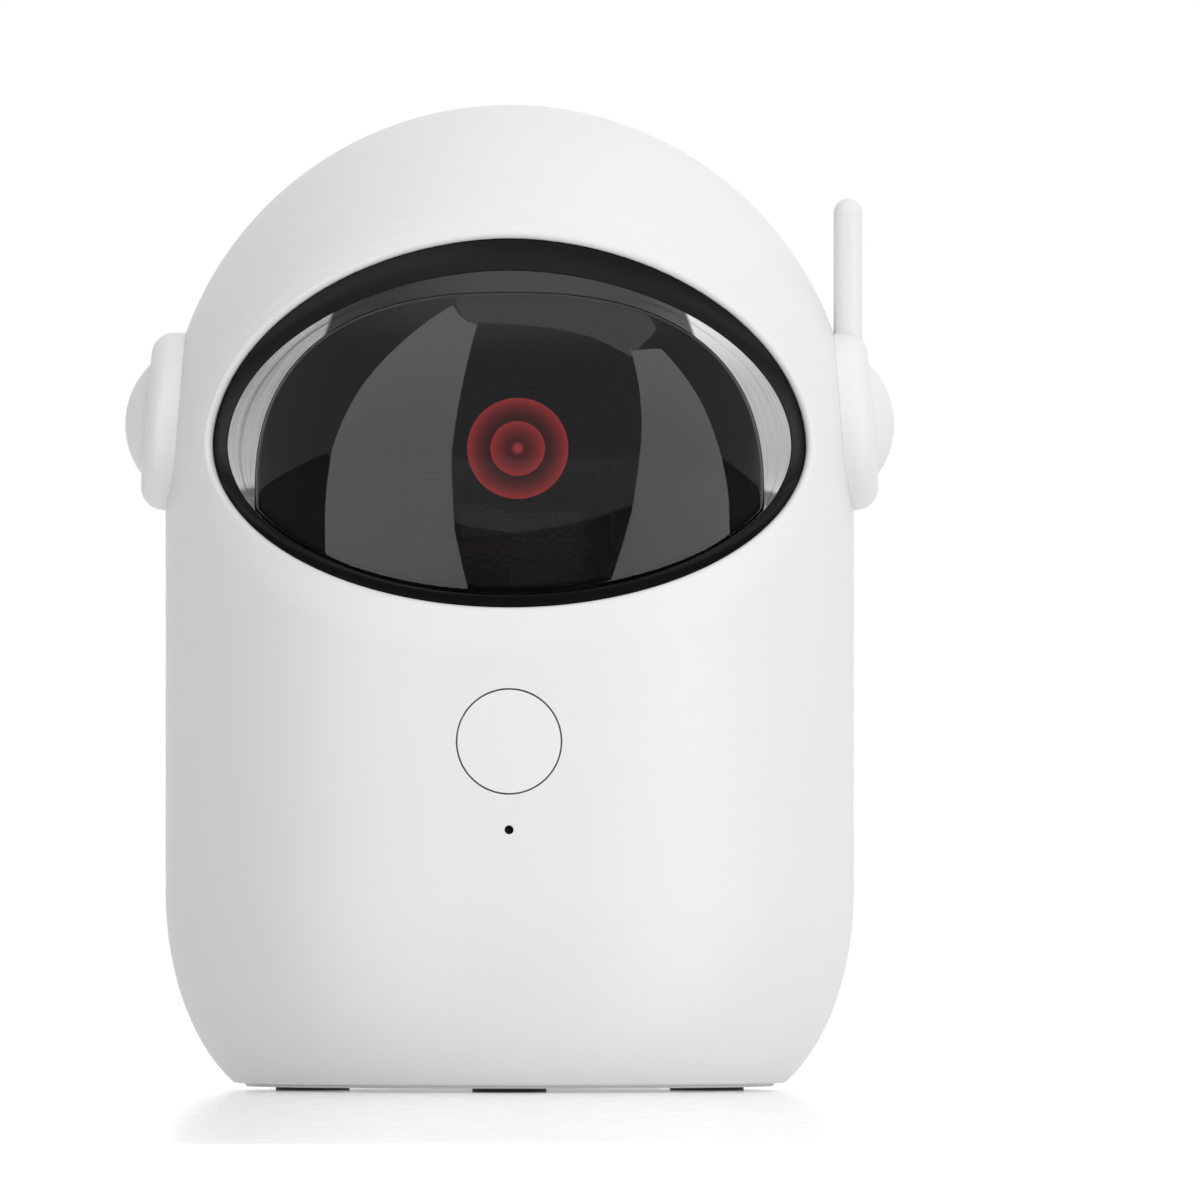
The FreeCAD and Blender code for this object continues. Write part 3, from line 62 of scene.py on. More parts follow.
# Superellipse exponents above and below an outline's widest line
WINDOW_POWERS = (1.9, 2.0)
ARCH_POWERS = (2.5, 2.5)

# Fine line across the shoulder, as shares of its width, and exponent of the black ring's slope
LINE_START, LINE_WIDTH = 0.52, 0.12
NARROWEST_SHOULDER = 0.5 * MM
BEZEL_HOLLOW = 2.2

# Mesh densities: columns round the window, rows over each stretch of a surface, and the
# exponents that crowd the dome's rows towards its edge
COLUMNS = 320
DOME_FRONT_ROWS, DOME_STEP_ROWS, DOME_BACK_ROWS = 44, 9, 36
SLOPE_ROWS, SEAT_ROWS, FLANGE_ROWS = 36, 6, 5
BEZEL_ROWS = 26
FRONT_CROWDING, BACK_CROWDING = 1.4, 1.3
SEARCH_TURNS = 6001
HALVINGS = 40
FARTHEST = 80 * MM
SHARP_ANGLE = math.radians(32)
WELD = 1e-7

# Small gaps that keep neighbouring faces apart
EDGE_GAP = 0.1 * MM
STEP_GAP = 0.03 * MM
SEAT_MARGIN = 0.2 * MM
BEZEL_LAP = 0.12 * MM
BEZEL_UNDERLAY = 0.04 * MM


def length(name, description, default, **more):
    return FloatProperty(name=name, description=description, default=default, min=0.0,
                         subtype="DISTANCE", unit="LENGTH", precision=5, **more)


def share(name, description, default):
    return FloatProperty(name=name, description=description, default=default, min=0.0, max=1.0,
                         subtype="FACTOR")


def colour(name, description, default):
    return FloatVectorProperty(name=name, description=description, default=default, size=3,
                               min=0.0, max=1.0, subtype="COLOR")


def amount(name, description, default):
    return FloatProperty(name=name, description=description, default=default, min=0.0)


class HousingSettings(PropertyGroup):
    radius: length("Housing radius", "Radius of the straight side and of the dome", 41.9 * MM)
    dome_z: length("Dome centre height", "Height where the side turns into the dome", 78.1 * MM)
    window_half_width: length("Window half-width", "Half-width of the opening for the visor", 36.0 * MM)
    window_z: length("Window height", "Height of the opening's widest line", 78.4 * MM)
    window_rise: length("Window rise", "From the widest line to the top of the opening", 25.1 * MM)
    window_drop: length("Window drop", "From the widest line to the bottom of the opening", 19.6 * MM)
    white: colour("White plastic", "Colour of the housing, ears and antenna", (0.74, 0.74, 0.74))
    button_white: colour("Button plastic", "Colour of the push button", (0.76, 0.76, 0.76))
    roughness: share("Roughness", "Roughness of the moulded surface", 0.42)
    grain: length("Grain size", "Size of the spark-eroded grain", 0.35 * MM)


class VisorSettings(PropertyGroup):
    dome_inset: length("Dome inset", "Depth of the raised dome under the housing's surface", 2.0 * MM)
    back_inset: length("Back inset", "Depth of the foot of the dome's step", 4.7 * MM)
    step_depth: length("Step depth", "Height of the dome over the shoulder at the top", 0.6 * MM)
    side_step: length("Side step", "Height of the dome over the shoulder at the sides", 2.1 * MM)
    shoulder_slope: amount("Shoulder slope", "Fall of the shoulder for each length outwards", 0.58)
    line_height: length("Line height", "Height of the fine line round the shoulder", 0.02 * MM)
    under_drop: length("Under drop", "Depth of the seat that the black ring rests on", 0.8 * MM)
    flange_inset: length("Flange inset", "Depth of the flange under the housing's surface", 2.1 * MM)
    thickness: length("Thickness", "Wall of the moulded window", 1.8 * MM)
    step_wall: length("Step wall", "Wall of the step round the dome", 1.2 * MM)
    shoulder_thickness: length("Shoulder thickness", "Wall of the sloped shoulder", 0.9 * MM)
    stretch: amount("Lower stretch", "Height of the dome's lower half as a share of its radius", 1.43)
    arch_z: length("Arch height", "Height where the arch's straight sides end", 72.0 * MM)
    arch_half_width: length("Arch half-width", "Half-width of the raised dome", 30.9 * MM)
    arch_rise: length("Arch rise", "From the straight sides to the top of the arch", 25.0 * MM)
    step_radius: length("Step radius", "Rounding of the raised dome's outline", 0.5 * MM)
    flange: length("Flange", "Overlap behind the housing's wall", 2.0 * MM)
    bezel_inset: length("Bezel inset", "Depth of the black ring under the housing's surface", 1.5 * MM)
    bezel_side: length("Bezel side", "Width of the black ring at the sides", 1.7 * MM)
    bezel_top: length("Bezel top", "Width of the black ring at the top", 3.8 * MM)
    bezel_bottom: length("Bezel bottom", "Width of the black ring at the bottom", 1.5 * MM)
    tint: colour("Smoke tint", "What each face of the window lets through", (0.13, 0.13, 0.133))
    black: colour("Black trim", "Colour of the ring round the window", (0.008, 0.008, 0.0085))


class LaserSettings(PropertyGroup):
    axis_x: FloatProperty(name="Axis X", description="Sideways place of the laser's axis",
                          default=1.0 * MM, subtype="DISTANCE", unit="LENGTH", precision=5)
    axis_z: length("Axis height", "Height of the laser's axis at rest", 78.1 * MM)
    outer_radius: length("Outer radius", "Radius of the lit outer zone", 6.1 * MM)
    inner_radius: length("Inner radius", "Radius of the lit inner zone", 3.3 * MM)
    spot_radius: length("Spot radius", "Radius of the bright spot on the lens", 0.55 * MM)
    rim_glow: colour("Rim glow", "Light at the rim of a zone", (0.90, 0.070, 0.080))
    core_glow: colour("Core glow", "Light at the inside of a zone", (0.09, 0.009, 0.010))
    strength: amount("Glow strength", "Strength of the lit zones", 2.0)


class StudioSettings(PropertyGroup):
    distance: length("Camera distance", "From the lens to the toy's axis", 6.0)
    offset: FloatProperty(name="Camera offset", description="Sideways place of the camera",
                          default=11.0 * MM, subtype="DISTANCE", unit="LENGTH", precision=5)
    height: length("Camera height", "Height of the level camera", 59.7 * MM)
    lens: amount("Lens", "Focal length in millimetres", 1477.8)
    floor: colour("Floor", "Colour of the pale floor", (0.90, 0.90, 0.90))
    left_card: amount("Left card", "Brightness of the left softbox in reflections", 2.2)
    right_card: amount("Right card", "Brightness of the right softbox in reflections", 2.2)
    ceiling: amount("Ceiling", "Brightness of the ceiling in reflections", 1.15)
    room: amount("Room", "Brightness of the rest of the room in reflections", 0.42)
    table: amount("Table", "Brightness of the table in reflections", 0.10)


class LaserToySettings(PropertyGroup):
    housing: PointerProperty(type=HousingSettings)
    visor: PointerProperty(type=VisorSettings)
    laser: PointerProperty(type=LaserSettings)
    studio: PointerProperty(type=StudioSettings)


def settings():
    return bpy.context.scene.laser_toy


# Shapes

def oval(x, z, half_width, rise, drop, centre_z, upper_power, lower_power):
    """Superellipse |x/a|^p + |(z-c)/b|^p, with its own b and p above and below c."""
    up = z >= centre_z
    power = np.where(up, upper_power, lower_power)
    height = np.where(up, rise, drop)
    return np.abs(x / half_width) ** power + np.abs((z - centre_z) / height) ** power


def window(x, z):
    """The housing's opening: exponent 1.9 above its widest line, an ellipse below."""
    h = settings().housing
    return oval(x, z, h.window_half_width, h.window_rise, h.window_drop, h.window_z, *WINDOW_POWERS)


def bezel_hole(x, z):
    """The opening drawn in by the black ring's width at the side, the top and the bottom."""
    h, v = settings().housing, settings().visor
    return oval(x, z, h.window_half_width - v.bezel_side, h.window_rise - v.bezel_top,
                h.window_drop - v.bezel_bottom, h.window_z, *WINDOW_POWERS)


def arch(x, z):
    """A superellipse of exponent 2.5 standing on straight sides."""
    v = settings().visor
    return oval(x, np.maximum(z, v.arch_z), v.arch_half_width, v.arch_rise, v.arch_rise, v.arch_z,
                *ARCH_POWERS)


def reach(shape, turn):
    """Distance from the window's centre to the shape's outline in direction turn, by halving a span."""
    low, high = np.zeros_like(turn), np.full_like(turn, FARTHEST)
    centre_z = settings().housing.window_z
    for _ in range(HALVINGS):
        middle = (low + high) / 2
        inside = shape(middle * np.cos(turn), centre_z + middle * np.sin(turn)) < 1
        low, high = np.where(inside, middle, low), np.where(inside, high, middle)
    return (low + high) / 2


def wall_y(x, z, inset):
    """Depth of the housing's surface moved inwards: a cylinder, and a ball above the dome's level."""
    h = settings().housing
    rise = np.maximum(z - h.dome_z, 0)
    return -np.sqrt(np.maximum((h.radius - inset) ** 2 - x ** 2 - rise ** 2, 0))


def dome_y(x, z, inset):
    """Depth of the visor's surface: a ball above the dome's level, stretched downwards below it."""
    h, v = settings().housing, settings().visor
    height = z - h.dome_z
    height = np.where(height < 0, height / v.stretch, height)
    return -np.sqrt(np.maximum((h.radius - inset) ** 2 - x ** 2 - height ** 2, 0))


def ease(t):
    """Smooth step 3t^2 - 2t^3 between 0 and 1."""
    t = np.clip(t, 0, 1)
    return t * t * (3 - 2 * t)


def turns():
    """Directions round the window, with those where the arch meets the black ring put in exactly."""
    turn = np.linspace(0, 2 * math.pi, COLUMNS, endpoint=False)
    fine = np.linspace(math.pi, 2 * math.pi, SEARCH_TURNS)
    gap = reach(arch, fine) - reach(bezel_hole, fine)
    crossings = fine[:-1][np.sign(gap[:-1]) != np.sign(gap[1:])]
    for crossing in crossings:
        turn[np.argmin(np.abs(turn - crossing))] = crossing
    return turn


def ring_points(turn, distance, depth, *more):
    """Row of points at a distance from the window's centre, at the depth that a surface has there."""
    x = distance * np.cos(turn)
    z = settings().housing.window_z + distance * np.sin(turn)
    return np.stack([x, depth(x, z, *more), z], axis=1)


def shell_mesh(name, rows, poles=False, closed=False, v_values=None):
    """Quads over a grid whose columns go round.

    With poles each end row becomes one point; closed joins the last row to the first.
    """
    rows = np.asarray(rows, dtype=float)
    count, columns = rows.shape[:2]
    points = rows.reshape(-1, 3)
    index = np.arange(count * columns).reshape(count, columns)
    if closed:
        index = np.vstack([index, index[:1]])
    right = np.roll(index, -1, axis=1)
    quads = np.stack([index[:-1], right[:-1], right[1:], index[1:]], axis=-1)
    u = np.arange(columns) / columns
    v = np.linspace(0, 1, len(index)) if v_values is None else np.asarray(v_values, dtype=float)
    low_u, high_u, low_v, high_v = (np.broadcast_to(value, quads.shape[:2]) for value in
                                    (u, u + 1 / columns, v[:-1, None], v[1:, None]))
    uv = np.stack([np.stack([low_u, low_v], -1), np.stack([high_u, low_v], -1),
                   np.stack([high_u, high_v], -1), np.stack([low_u, high_v], -1)], axis=2)
    quads, uv = quads.reshape(-1, 4), uv.reshape(-1, 4, 2)
    corner = points[quads]
    volume = np.einsum("ij,ij->i", corner[:, 0], np.cross(corner[:, 1], corner[:, 2])).sum()
    volume += np.einsum("ij,ij->i", corner[:, 0], np.cross(corner[:, 2], corner[:, 3])).sum()
    if volume < 0:
        quads, uv = quads[:, ::-1], uv[:, ::-1]
    mesh = bpy.data.meshes.new(name)
    mesh.from_pydata(points.tolist(), [], quads.tolist())
    layer = mesh.uv_layers.new(name="Surface")
    layer.data.foreach_set("uv", np.ascontiguousarray(uv).ravel())
    piece = bpy.data.objects.new(name, mesh)
    bpy.context.scene.collection.objects.link(piece)
    if poles:
        merge_doubles(mesh)
    mesh.shade_smooth()
    mesh.set_sharp_from_angle(angle=SHARP_ANGLE)
    return piece


def merge_doubles(mesh):
    work = bmesh.new()
    work.from_mesh(mesh)
    bmesh.ops.remove_doubles(work, verts=work.verts, dist=WELD)
    work.to_mesh(mesh)
    work.free()


def dome_outline(turn):
    """The raised dome ends at the arch or at the black ring's inner edge, whichever comes first."""
    return np.minimum(reach(arch, turn), reach(bezel_hole, turn) - EDGE_GAP)


def make_dome():
    """Raised dome of the visor: front rows out from the middle, a rounded step, and the hollow back."""
    v = settings().visor
    turn = turns()
    edge = dome_outline(turn)
    radius = v.step_radius
    front = 1 - (1 - np.linspace(0, 1, DOME_FRONT_ROWS)) ** FRONT_CROWDING
    rows = [ring_points(turn, (edge - radius) * t, dome_y, v.dome_inset) for t in front]
    for angle in np.linspace(0, math.pi / 2, DOME_STEP_ROWS)[1:]:
        row = ring_points(turn, edge - radius + radius * math.sin(angle), dome_y, v.dome_inset)
        row[:, 1] += radius * (1 - math.cos(angle))
        rows.append(row)
    inner = edge - v.step_wall
    rows.append(ring_points(turn, edge, dome_y, v.back_inset))
    rows.append(ring_points(turn, inner, dome_y, v.back_inset))
    rows += [ring_points(turn, inner * t, dome_y, v.dome_inset + v.thickness)
             for t in 1 - np.linspace(0, 1, DOME_BACK_ROWS) ** BACK_CROWDING]
    return shell_mesh("visor_dome", rows, poles=True)


def shoulder_edge(turn):
    """Depths of the shoulder's two edges: a step down from the dome, and an even slope from there."""
    v = settings().visor
    inner, outer = dome_outline(turn), reach(bezel_hole, turn)
    start = ring_points(turn, inner, dome_y, v.dome_inset)[:, 1]
    sideways = ease((outer - inner) / v.side_step) * np.cos(turn) ** 2
    start += v.step_depth + (v.side_step - v.step_depth) * sideways
    return start, start + v.shoulder_slope * (outer - inner)


def shoulder_y(turn, distance):
    """Front of the shoulder: an even slope with a fine line in it, then parallel to the wall."""
    v = settings().visor
    inner, outer = dome_outline(turn), reach(bezel_hole, turn)
    start, end = shoulder_edge(turn)
    row = ring_points(turn, distance, wall_y, v.bezel_inset)
    edge = ring_points(turn, outer, wall_y, v.bezel_inset)
    way = (distance - inner) / np.maximum(outer - inner, NARROWEST_SHOULDER)
    line = v.line_height * (1 - ease((way - LINE_START) / LINE_WIDTH)) * ease((outer - inner) / MM)
    sloped = start + v.shoulder_slope * (distance - inner) - line
    under = end + row[:, 1] - edge[:, 1] + v.under_drop * ease((distance - outer) / v.under_drop)
    row[:, 1] = np.where(distance <= outer, sloped, under)
    return row


def make_shoulder():
    """Shoulder between dome and housing: sloped front, flange behind the wall, and back."""
    v = settings().visor
    turn = turns()
    inner, hole = dome_outline(turn) + STEP_GAP, reach(bezel_hole, turn)
    outer = reach(window, turn) - SEAT_MARGIN
    inside = [inner + (hole - inner) * t for t in np.linspace(0, 1, SLOPE_ROWS)]
    inside += [hole + (outer - hole) * t for t in np.linspace(0, 1, SEAT_ROWS)[1:]]
    rows = [shoulder_y(turn, distance) for distance in inside]
    for t in np.linspace(0, 1, FLANGE_ROWS):
        distance = outer + (v.flange + SEAT_MARGIN) * t
        row = shoulder_y(turn, distance)
        behind = ring_points(turn, distance, wall_y, v.flange_inset)
        row[:, 1] = np.maximum(row[:, 1], behind[:, 1])
        rows.append(row)
    back = [row + np.array([0, v.shoulder_thickness, 0]) for row in rows[::-1]]
    values = np.linspace(0, 1, len(rows))
    return shell_mesh("visor_shoulder", rows + back, closed=True,
                      v_values=[*values, *values[::-1], 0])


def make_bezel():
    """Black ring: a hollow slope from the window's edge down to the shoulder, and a hidden underside."""
    v = settings().visor
    turn = turns()
    outer, inner = reach(window, turn) - EDGE_GAP, reach(bezel_hole, turn)
    low = shoulder_edge(turn)[1] - BEZEL_LAP
    drop = low - ring_points(turn, inner, wall_y, v.bezel_inset)[:, 1]
    rows = []
    for t in np.linspace(0, 1, BEZEL_ROWS):
        row = ring_points(turn, outer + (inner - outer) * t, wall_y, v.bezel_inset)
        row[:, 1] += drop * (1 - (1 - t) ** BEZEL_HOLLOW)
        rows.append(row)
    for distance in (inner, outer):
        row = shoulder_y(turn, distance)
        row[:, 1] -= BEZEL_UNDERLAY
        rows.append(row)
    return shell_mesh("bezel_ring", rows, closed=True)


# Shader helpers

def feed(tree, node, feeds):
    """Gives a node's sockets numbers or colours, or links other sockets to them."""
    for name, value in feeds.items():
        socket = node.inputs[name]
        if isinstance(value, bpy.types.NodeSocket):
            tree.links.new(value, socket)
        else:
            socket.default_value = value


def put(tree, kind, feeds=None, **values):
    """Adds a node, sets its values and feeds its sockets."""
    node = tree.nodes.new(kind)
    for name, value in values.items():
        setattr(node, name, value)
    feed(tree, node, feeds or {})
    return node


def own_place(tree):
    """Place of the shaded point in the part's own frame."""
    return put(tree, "ShaderNodeTexCoord").outputs["Object"]


def axes(tree, place):
    return put(tree, "ShaderNodeSeparateXYZ", {"Vector": place}).outputs


def maths(tree, operation, *values):
    return put(tree, "ShaderNodeMath", dict(enumerate(values)), operation=operation).outputs[0]


def vectors(tree, operation, *values, output=0):
    node = put(tree, "ShaderNodeVectorMath", dict(enumerate(values)), operation=operation)
    return node.outputs[output]


def scaled(tree, tone, factor):
    """Colour times a number."""
    node = put(tree, "ShaderNodeVectorMath", {0: tone, "Scale": factor}, operation="SCALE")
    return node.outputs[0]


def noise(tree, place, scale, detail, roughness=0.5, distortion=0.0, dimensions="3D"):
    node = put(tree, "ShaderNodeTexNoise",
               {"Vector": place, "Scale": scale, "Detail": detail, "Roughness": roughness,
                "Distortion": distortion}, noise_dimensions=dimensions)
    return node.outputs["Fac"]


def mapped(tree, value, start, end, low=0.0, high=1.0, interpolation="LINEAR"):
    """Moves start..end onto low..high, and stays between them."""
    node = put(tree, "ShaderNodeMapRange",
               {"Value": value, "From Min": start, "From Max": end, "To Min": low, "To Max": high},
               interpolation_type=interpolation)
    return node.outputs[0]


def mixed(tree, factor, low, high):
    """Colour from low at factor 0 to high at factor 1."""
    node = put(tree, "ShaderNodeMix", {"Factor": factor, "A": low, "B": high}, data_type="RGBA")
    return node.outputs["Result"]


def bump(tree, height, strength, distance):
    node = put(tree, "ShaderNodeBump", {"Height": height, "Strength": strength, "Distance": distance})
    return node.outputs["Normal"]


def rgba(values):
    return (*values, 1.0)


# Shader groups

FLOAT, COLOUR, VECTOR = "NodeSocketFloat", "NodeSocketColor", "NodeSocketVector"
SURFACE = (("Colour", COLOUR), ("Roughness", FLOAT), ("Normal", VECTOR))


def group_tree(name, inputs, outputs):
    """Empty group with its sockets; returns the tree, the given sockets and the output node."""
    tree = bpy.data.node_groups.new(name, "ShaderNodeTree")
    for label, kind, default in inputs:
        socket = tree.interface.new_socket(name=label, in_out="INPUT", socket_type=kind)
        socket.default_value = default
    for label, kind in outputs:
        tree.interface.new_socket(name=label, in_out="OUTPUT", socket_type=kind)
    return tree, put(tree, "NodeGroupInput").outputs, put(tree, "NodeGroupOutput")


def moulded_group():
    """Moulded plastic: slow shade and gloss changes over the part, and a fine grain in its surface."""
    if "Moulded Surface" in bpy.data.node_groups:
        return bpy.data.node_groups["Moulded Surface"]
    tree, given, out = group_tree(
        "Moulded Surface",
        [("Colour", COLOUR, (0.8, 0.8, 0.8, 1)), ("Shade", FLOAT, 0.03), ("Roughness", FLOAT, 0.4),
         ("Gloss Change", FLOAT, 0.06), ("Grain Scale", FLOAT, 3000.0), ("Grain Depth", FLOAT, 0.00001)],
        SURFACE)
    place = own_place(tree)
    slow = noise(tree, place, scale=38.0, detail=3.0)
    smear = noise(tree, place, scale=210.0, detail=5.0, roughness=0.6)
    grain = noise(tree, place, scale=given["Grain Scale"], detail=2.0, roughness=0.55)
    keep = maths(tree, "SUBTRACT", 1.0, maths(tree, "MULTIPLY", slow, given["Shade"]))
    change = maths(tree, "SUBTRACT", smear, 0.5)
    feed(tree, out, {
        "Colour": scaled(tree, given["Colour"], keep),
        "Roughness": maths(tree, "MULTIPLY_ADD", change, given["Gloss Change"], given["Roughness"]),
        "Normal": bump(tree, grain, 1.0, given["Grain Depth"])})
    return tree


def metal_group():
    """Drawn or turned metal: streaks along one direction change its gloss, colour and surface."""
    if "Drawn Metal" in bpy.data.node_groups:
        return bpy.data.node_groups["Drawn Metal"]
    tree, given, out = group_tree(
        "Drawn Metal",
        [("Colour", COLOUR, (0.6, 0.6, 0.6, 1)), ("Roughness", FLOAT, 0.3),
         ("Stretch", VECTOR, (1, 1, 1)), ("Streak Depth", FLOAT, 0.00001)],
        SURFACE)
    place = own_place(tree)
    streak = noise(tree, vectors(tree, "MULTIPLY", place, given["Stretch"]), scale=900.0, detail=4.0)
    stain = noise(tree, place, scale=160.0, detail=3.0)
    change = maths(tree, "SUBTRACT", streak, 0.5)
    feed(tree, out, {
        "Colour": scaled(tree, given["Colour"], mapped(tree, stain, 0.0, 1.0, low=0.82, high=1.08)),
        "Roughness": maths(tree, "MULTIPLY_ADD", change, 0.25, given["Roughness"]),
        "Normal": bump(tree, streak, 1.0, given["Streak Depth"])})
    return tree


def new_finish(name):
    material = bpy.data.materials.new(name)
    material.use_nodes = True
    tree = material.node_tree
    return material, tree, tree.nodes["Principled BSDF"]


def group_finish(name, group, given):
    """Finish whose colour, roughness and normal come from a group."""
    material, tree, shader = new_finish(name)
    source = put(tree, "ShaderNodeGroup", given, node_tree=group).outputs
    feed(tree, shader, {"Base Color": source["Colour"], "Roughness": source["Roughness"],
                        "Normal": source["Normal"]})
    return material, shader


def plastic(name, tone, roughness, grain=0.35 * MM, depth=0.004 * MM, shade=0.05, **sockets):
    material, shader = group_finish(name, moulded_group(), {
        "Colour": rgba(tone), "Shade": shade, "Roughness": roughness, "Gloss Change": 0.12,
        "Grain Scale": 1 / grain, "Grain Depth": depth})
    for label, value in sockets.items():
        shader.inputs[label.replace("_", " ")].default_value = value
    return material


def metal(name, tone, roughness, stretch=(1, 1, 1), depth=0.003 * MM):
    material, shader = group_finish(name, metal_group(), {
        "Colour": rgba(tone), "Roughness": roughness, "Stretch": stretch, "Streak Depth": depth})
    shader.inputs["Metallic"].default_value = 1.0
    return material


def dress(finish, *slots):
    """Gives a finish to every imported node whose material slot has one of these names."""
    dressed = 0
    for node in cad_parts.values():
        for holder in node.material_slots:
            if holder.material and holder.material.name.split(".")[0] in slots:
                holder.material = finish
                dressed += 1
    if not dressed:
        raise RuntimeError(f"No packed node uses {slots}")


def place_piece(piece, finish, body, slot, *nodes):
    piece.data.materials.append(finish)
    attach(piece, body)
    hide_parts(*nodes)


# Finishes of single parts

BUTTON_ROUGHNESS = 0.36
GLOW_FALL = 2.0
# Mask lean, edges and middle height of the shoulder's side bands, placed where the boards' reflections
# fall: painted reflection strength
BAND_LEAN, BAND_EDGE, BAND_MIDDLE = 0.35, (54.3 * MM, 54.7 * MM), 81 * MM
SHOULDER_BLACK = (0.014, 0.014, 0.015)
SPOT_RED = (1.0, 0.10, 0.10)
MASK_GREEN, TRACK_GREEN = (0.010, 0.085, 0.035), (0.020, 0.165, 0.070)
TIN, BARE_STEEL = (0.60, 0.60, 0.58), (0.62, 0.62, 0.60)
WRAP_DARK, WRAP_LIGHT = (0.03, 0.16, 0.30), (0.05, 0.22, 0.38)
ACRYLIC_IOR = 1.49
STREAKS_ALONG_AND_ACROSS = (14.0, 150.0, 0.0)


def window_finish():
    """Smoked acrylic: tinted glass with faint moulding ripples and a few fine rub marks."""
    material, tree, shader = new_finish("Smoked acrylic")
    place = own_place(tree)
    flow = noise(tree, place, scale=60.0, detail=2.0)
    rubs = noise(tree, place, scale=700.0, detail=4.0, distortion=1.5)
    shade = mapped(tree, flow, 0.0, 1.0, low=0.97, high=1.03)
    feed(tree, shader, {
        "Base Color": scaled(tree, tuple(settings().visor.tint), shade),
        "Roughness": mapped(tree, rubs, 0.45, 0.8, low=0.012, high=0.05),
        "Transmission Weight": 1.0, "IOR": ACRYLIC_IOR})
    return material


def shoulder_finish():
    """Dark glossy moulding, with a metallic band at each side whose turned streaks follow the window;
    the band is masked to where the boards' reflections fall and made brighter towards its ends, so its
    crescents are rendered reflections of the boards with a painted reflection strength.
    """
    v = settings().visor
    material, tree, shader = new_finish("Smoked shoulder")
    own = put(tree, "ShaderNodeUVMap", uv_map="Surface").outputs["UV"]
    lines = vectors(tree, "MULTIPLY", own, STREAKS_ALONG_AND_ACROSS)
    streak = noise(tree, lines, scale=1.0, detail=3.0, dimensions="2D")
    place = axes(tree, own_place(tree))
    # Metallic only at the sides, where the boards' reflections fall: the band's place is painted
    # reflection
    lean = maths(tree, "MULTIPLY_ADD", place["Z"], BAND_LEAN, maths(tree, "ABSOLUTE", place["X"]))
    side = mapped(tree, lean, *BAND_EDGE)
    off = maths(tree, "ABSOLUTE", maths(tree, "SUBTRACT", place["Z"], BAND_MIDDLE))
    # Painted reflection strength: reflectivity rises away from the band's middle height, brightening the
    # ends of the reflected crescents
    bright = mapped(tree, off, 4 * MM, 15 * MM, low=0.85, high=1.5, interpolation="SMOOTHSTEP")
    band_reflectivity = mapped(tree, streak, 0.25, 0.75, low=0.16, high=0.38)
    feed(tree, shader, {
        "Base Color": mixed(tree, side, rgba(SHOULDER_BLACK), maths(tree, "MULTIPLY", bright, band_reflectivity)),
        "Metallic": side,
        "Roughness": mapped(tree, streak, 0.3, 0.7, low=0.10, high=0.24),
        "Normal": bump(tree, streak, strength=0.5, distance=0.008 * MM)})
    return material


def glow_finish(name, inner, outer, spot=0.0):
    """Red zone lit from its rim inwards: the glow falls with the distance from the laser's axis."""
    l = settings().laser
    material, tree, shader = new_finish(name)
    place = own_place(tree)
    centred = vectors(tree, "SUBTRACT", place, (l.axis_x, 0.0, l.axis_z))
    flat = vectors(tree, "MULTIPLY", centred, (1.0, 0.0, 1.0))
    radius = vectors(tree, "LENGTH", flat, output="Value")
    rise = maths(tree, "POWER", mapped(tree, radius, inner, outer), GLOW_FALL)
    glow = mixed(tree, rise, rgba(l.core_glow), rgba(l.rim_glow))
    if spot:
        near = mapped(tree, radius, spot * 0.6, spot * 1.6, low=1.0, high=0.0)
        glow = mixed(tree, near, glow, rgba(SPOT_RED))
    speck = noise(tree, place, scale=1500.0, detail=2.0)
    feed(tree, shader, {
        "Emission Color": glow, "Emission Strength": l.strength, "Base Color": glow,
        "Roughness": mapped(tree, speck, 0.0, 1.0, low=0.28, high=0.42)})
    return material


def board_finish():
    """Green solder mask with tracks and tinned dots."""
    material, tree, shader = new_finish("Circuit board")
    spread = {"Vector": own_place(tree), "Scale": 330.0}
    cells = put(tree, "ShaderNodeTexVoronoi", spread, distance="CHEBYCHEV", feature="F1")
    edges = put(tree, "ShaderNodeTexVoronoi", spread, feature="DISTANCE_TO_EDGE")
    track = mapped(tree, edges.outputs["Distance"], 0.05, 0.09, low=1.0, high=0.0)
    dot = mapped(tree, cells.outputs["Distance"], 0.10, 0.14, low=1.0, high=0.0)
    mask = mixed(tree, track, rgba(MASK_GREEN), rgba(TRACK_GREEN))
    feed(tree, shader, {
        "Base Color": mixed(tree, dot, mask, rgba(TIN)), "Metallic": dot, "Roughness": 0.32,
        "Normal": bump(tree, track, strength=0.5, distance=0.03 * MM)})
    return material


def wrap_finish():
    """Heat-shrunk wrap of the cell, with bare ends and faint shrink folds."""
    low, high = (corner.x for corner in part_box("battery_cell"))
    half = (high - low) / 2
    material, tree, shader = new_finish("Cell wrap")
    place = own_place(tree)
    middle = maths(tree, "SUBTRACT", axes(tree, place)["X"], (low + high) / 2)
    bare = mapped(tree, maths(tree, "ABSOLUTE", middle), half - 1.5 * MM, half - 1.3 * MM)
    folds = noise(tree, place, scale=240.0, detail=4.0)
    tone = mixed(tree, folds, rgba(WRAP_DARK), rgba(WRAP_LIGHT))
    feed(tree, shader, {
        "Base Color": mixed(tree, bare, tone, rgba(BARE_STEEL)), "Metallic": bare, "Roughness": 0.30,
        "Normal": bump(tree, folds, strength=0.4, distance=0.05 * MM)})
    return material


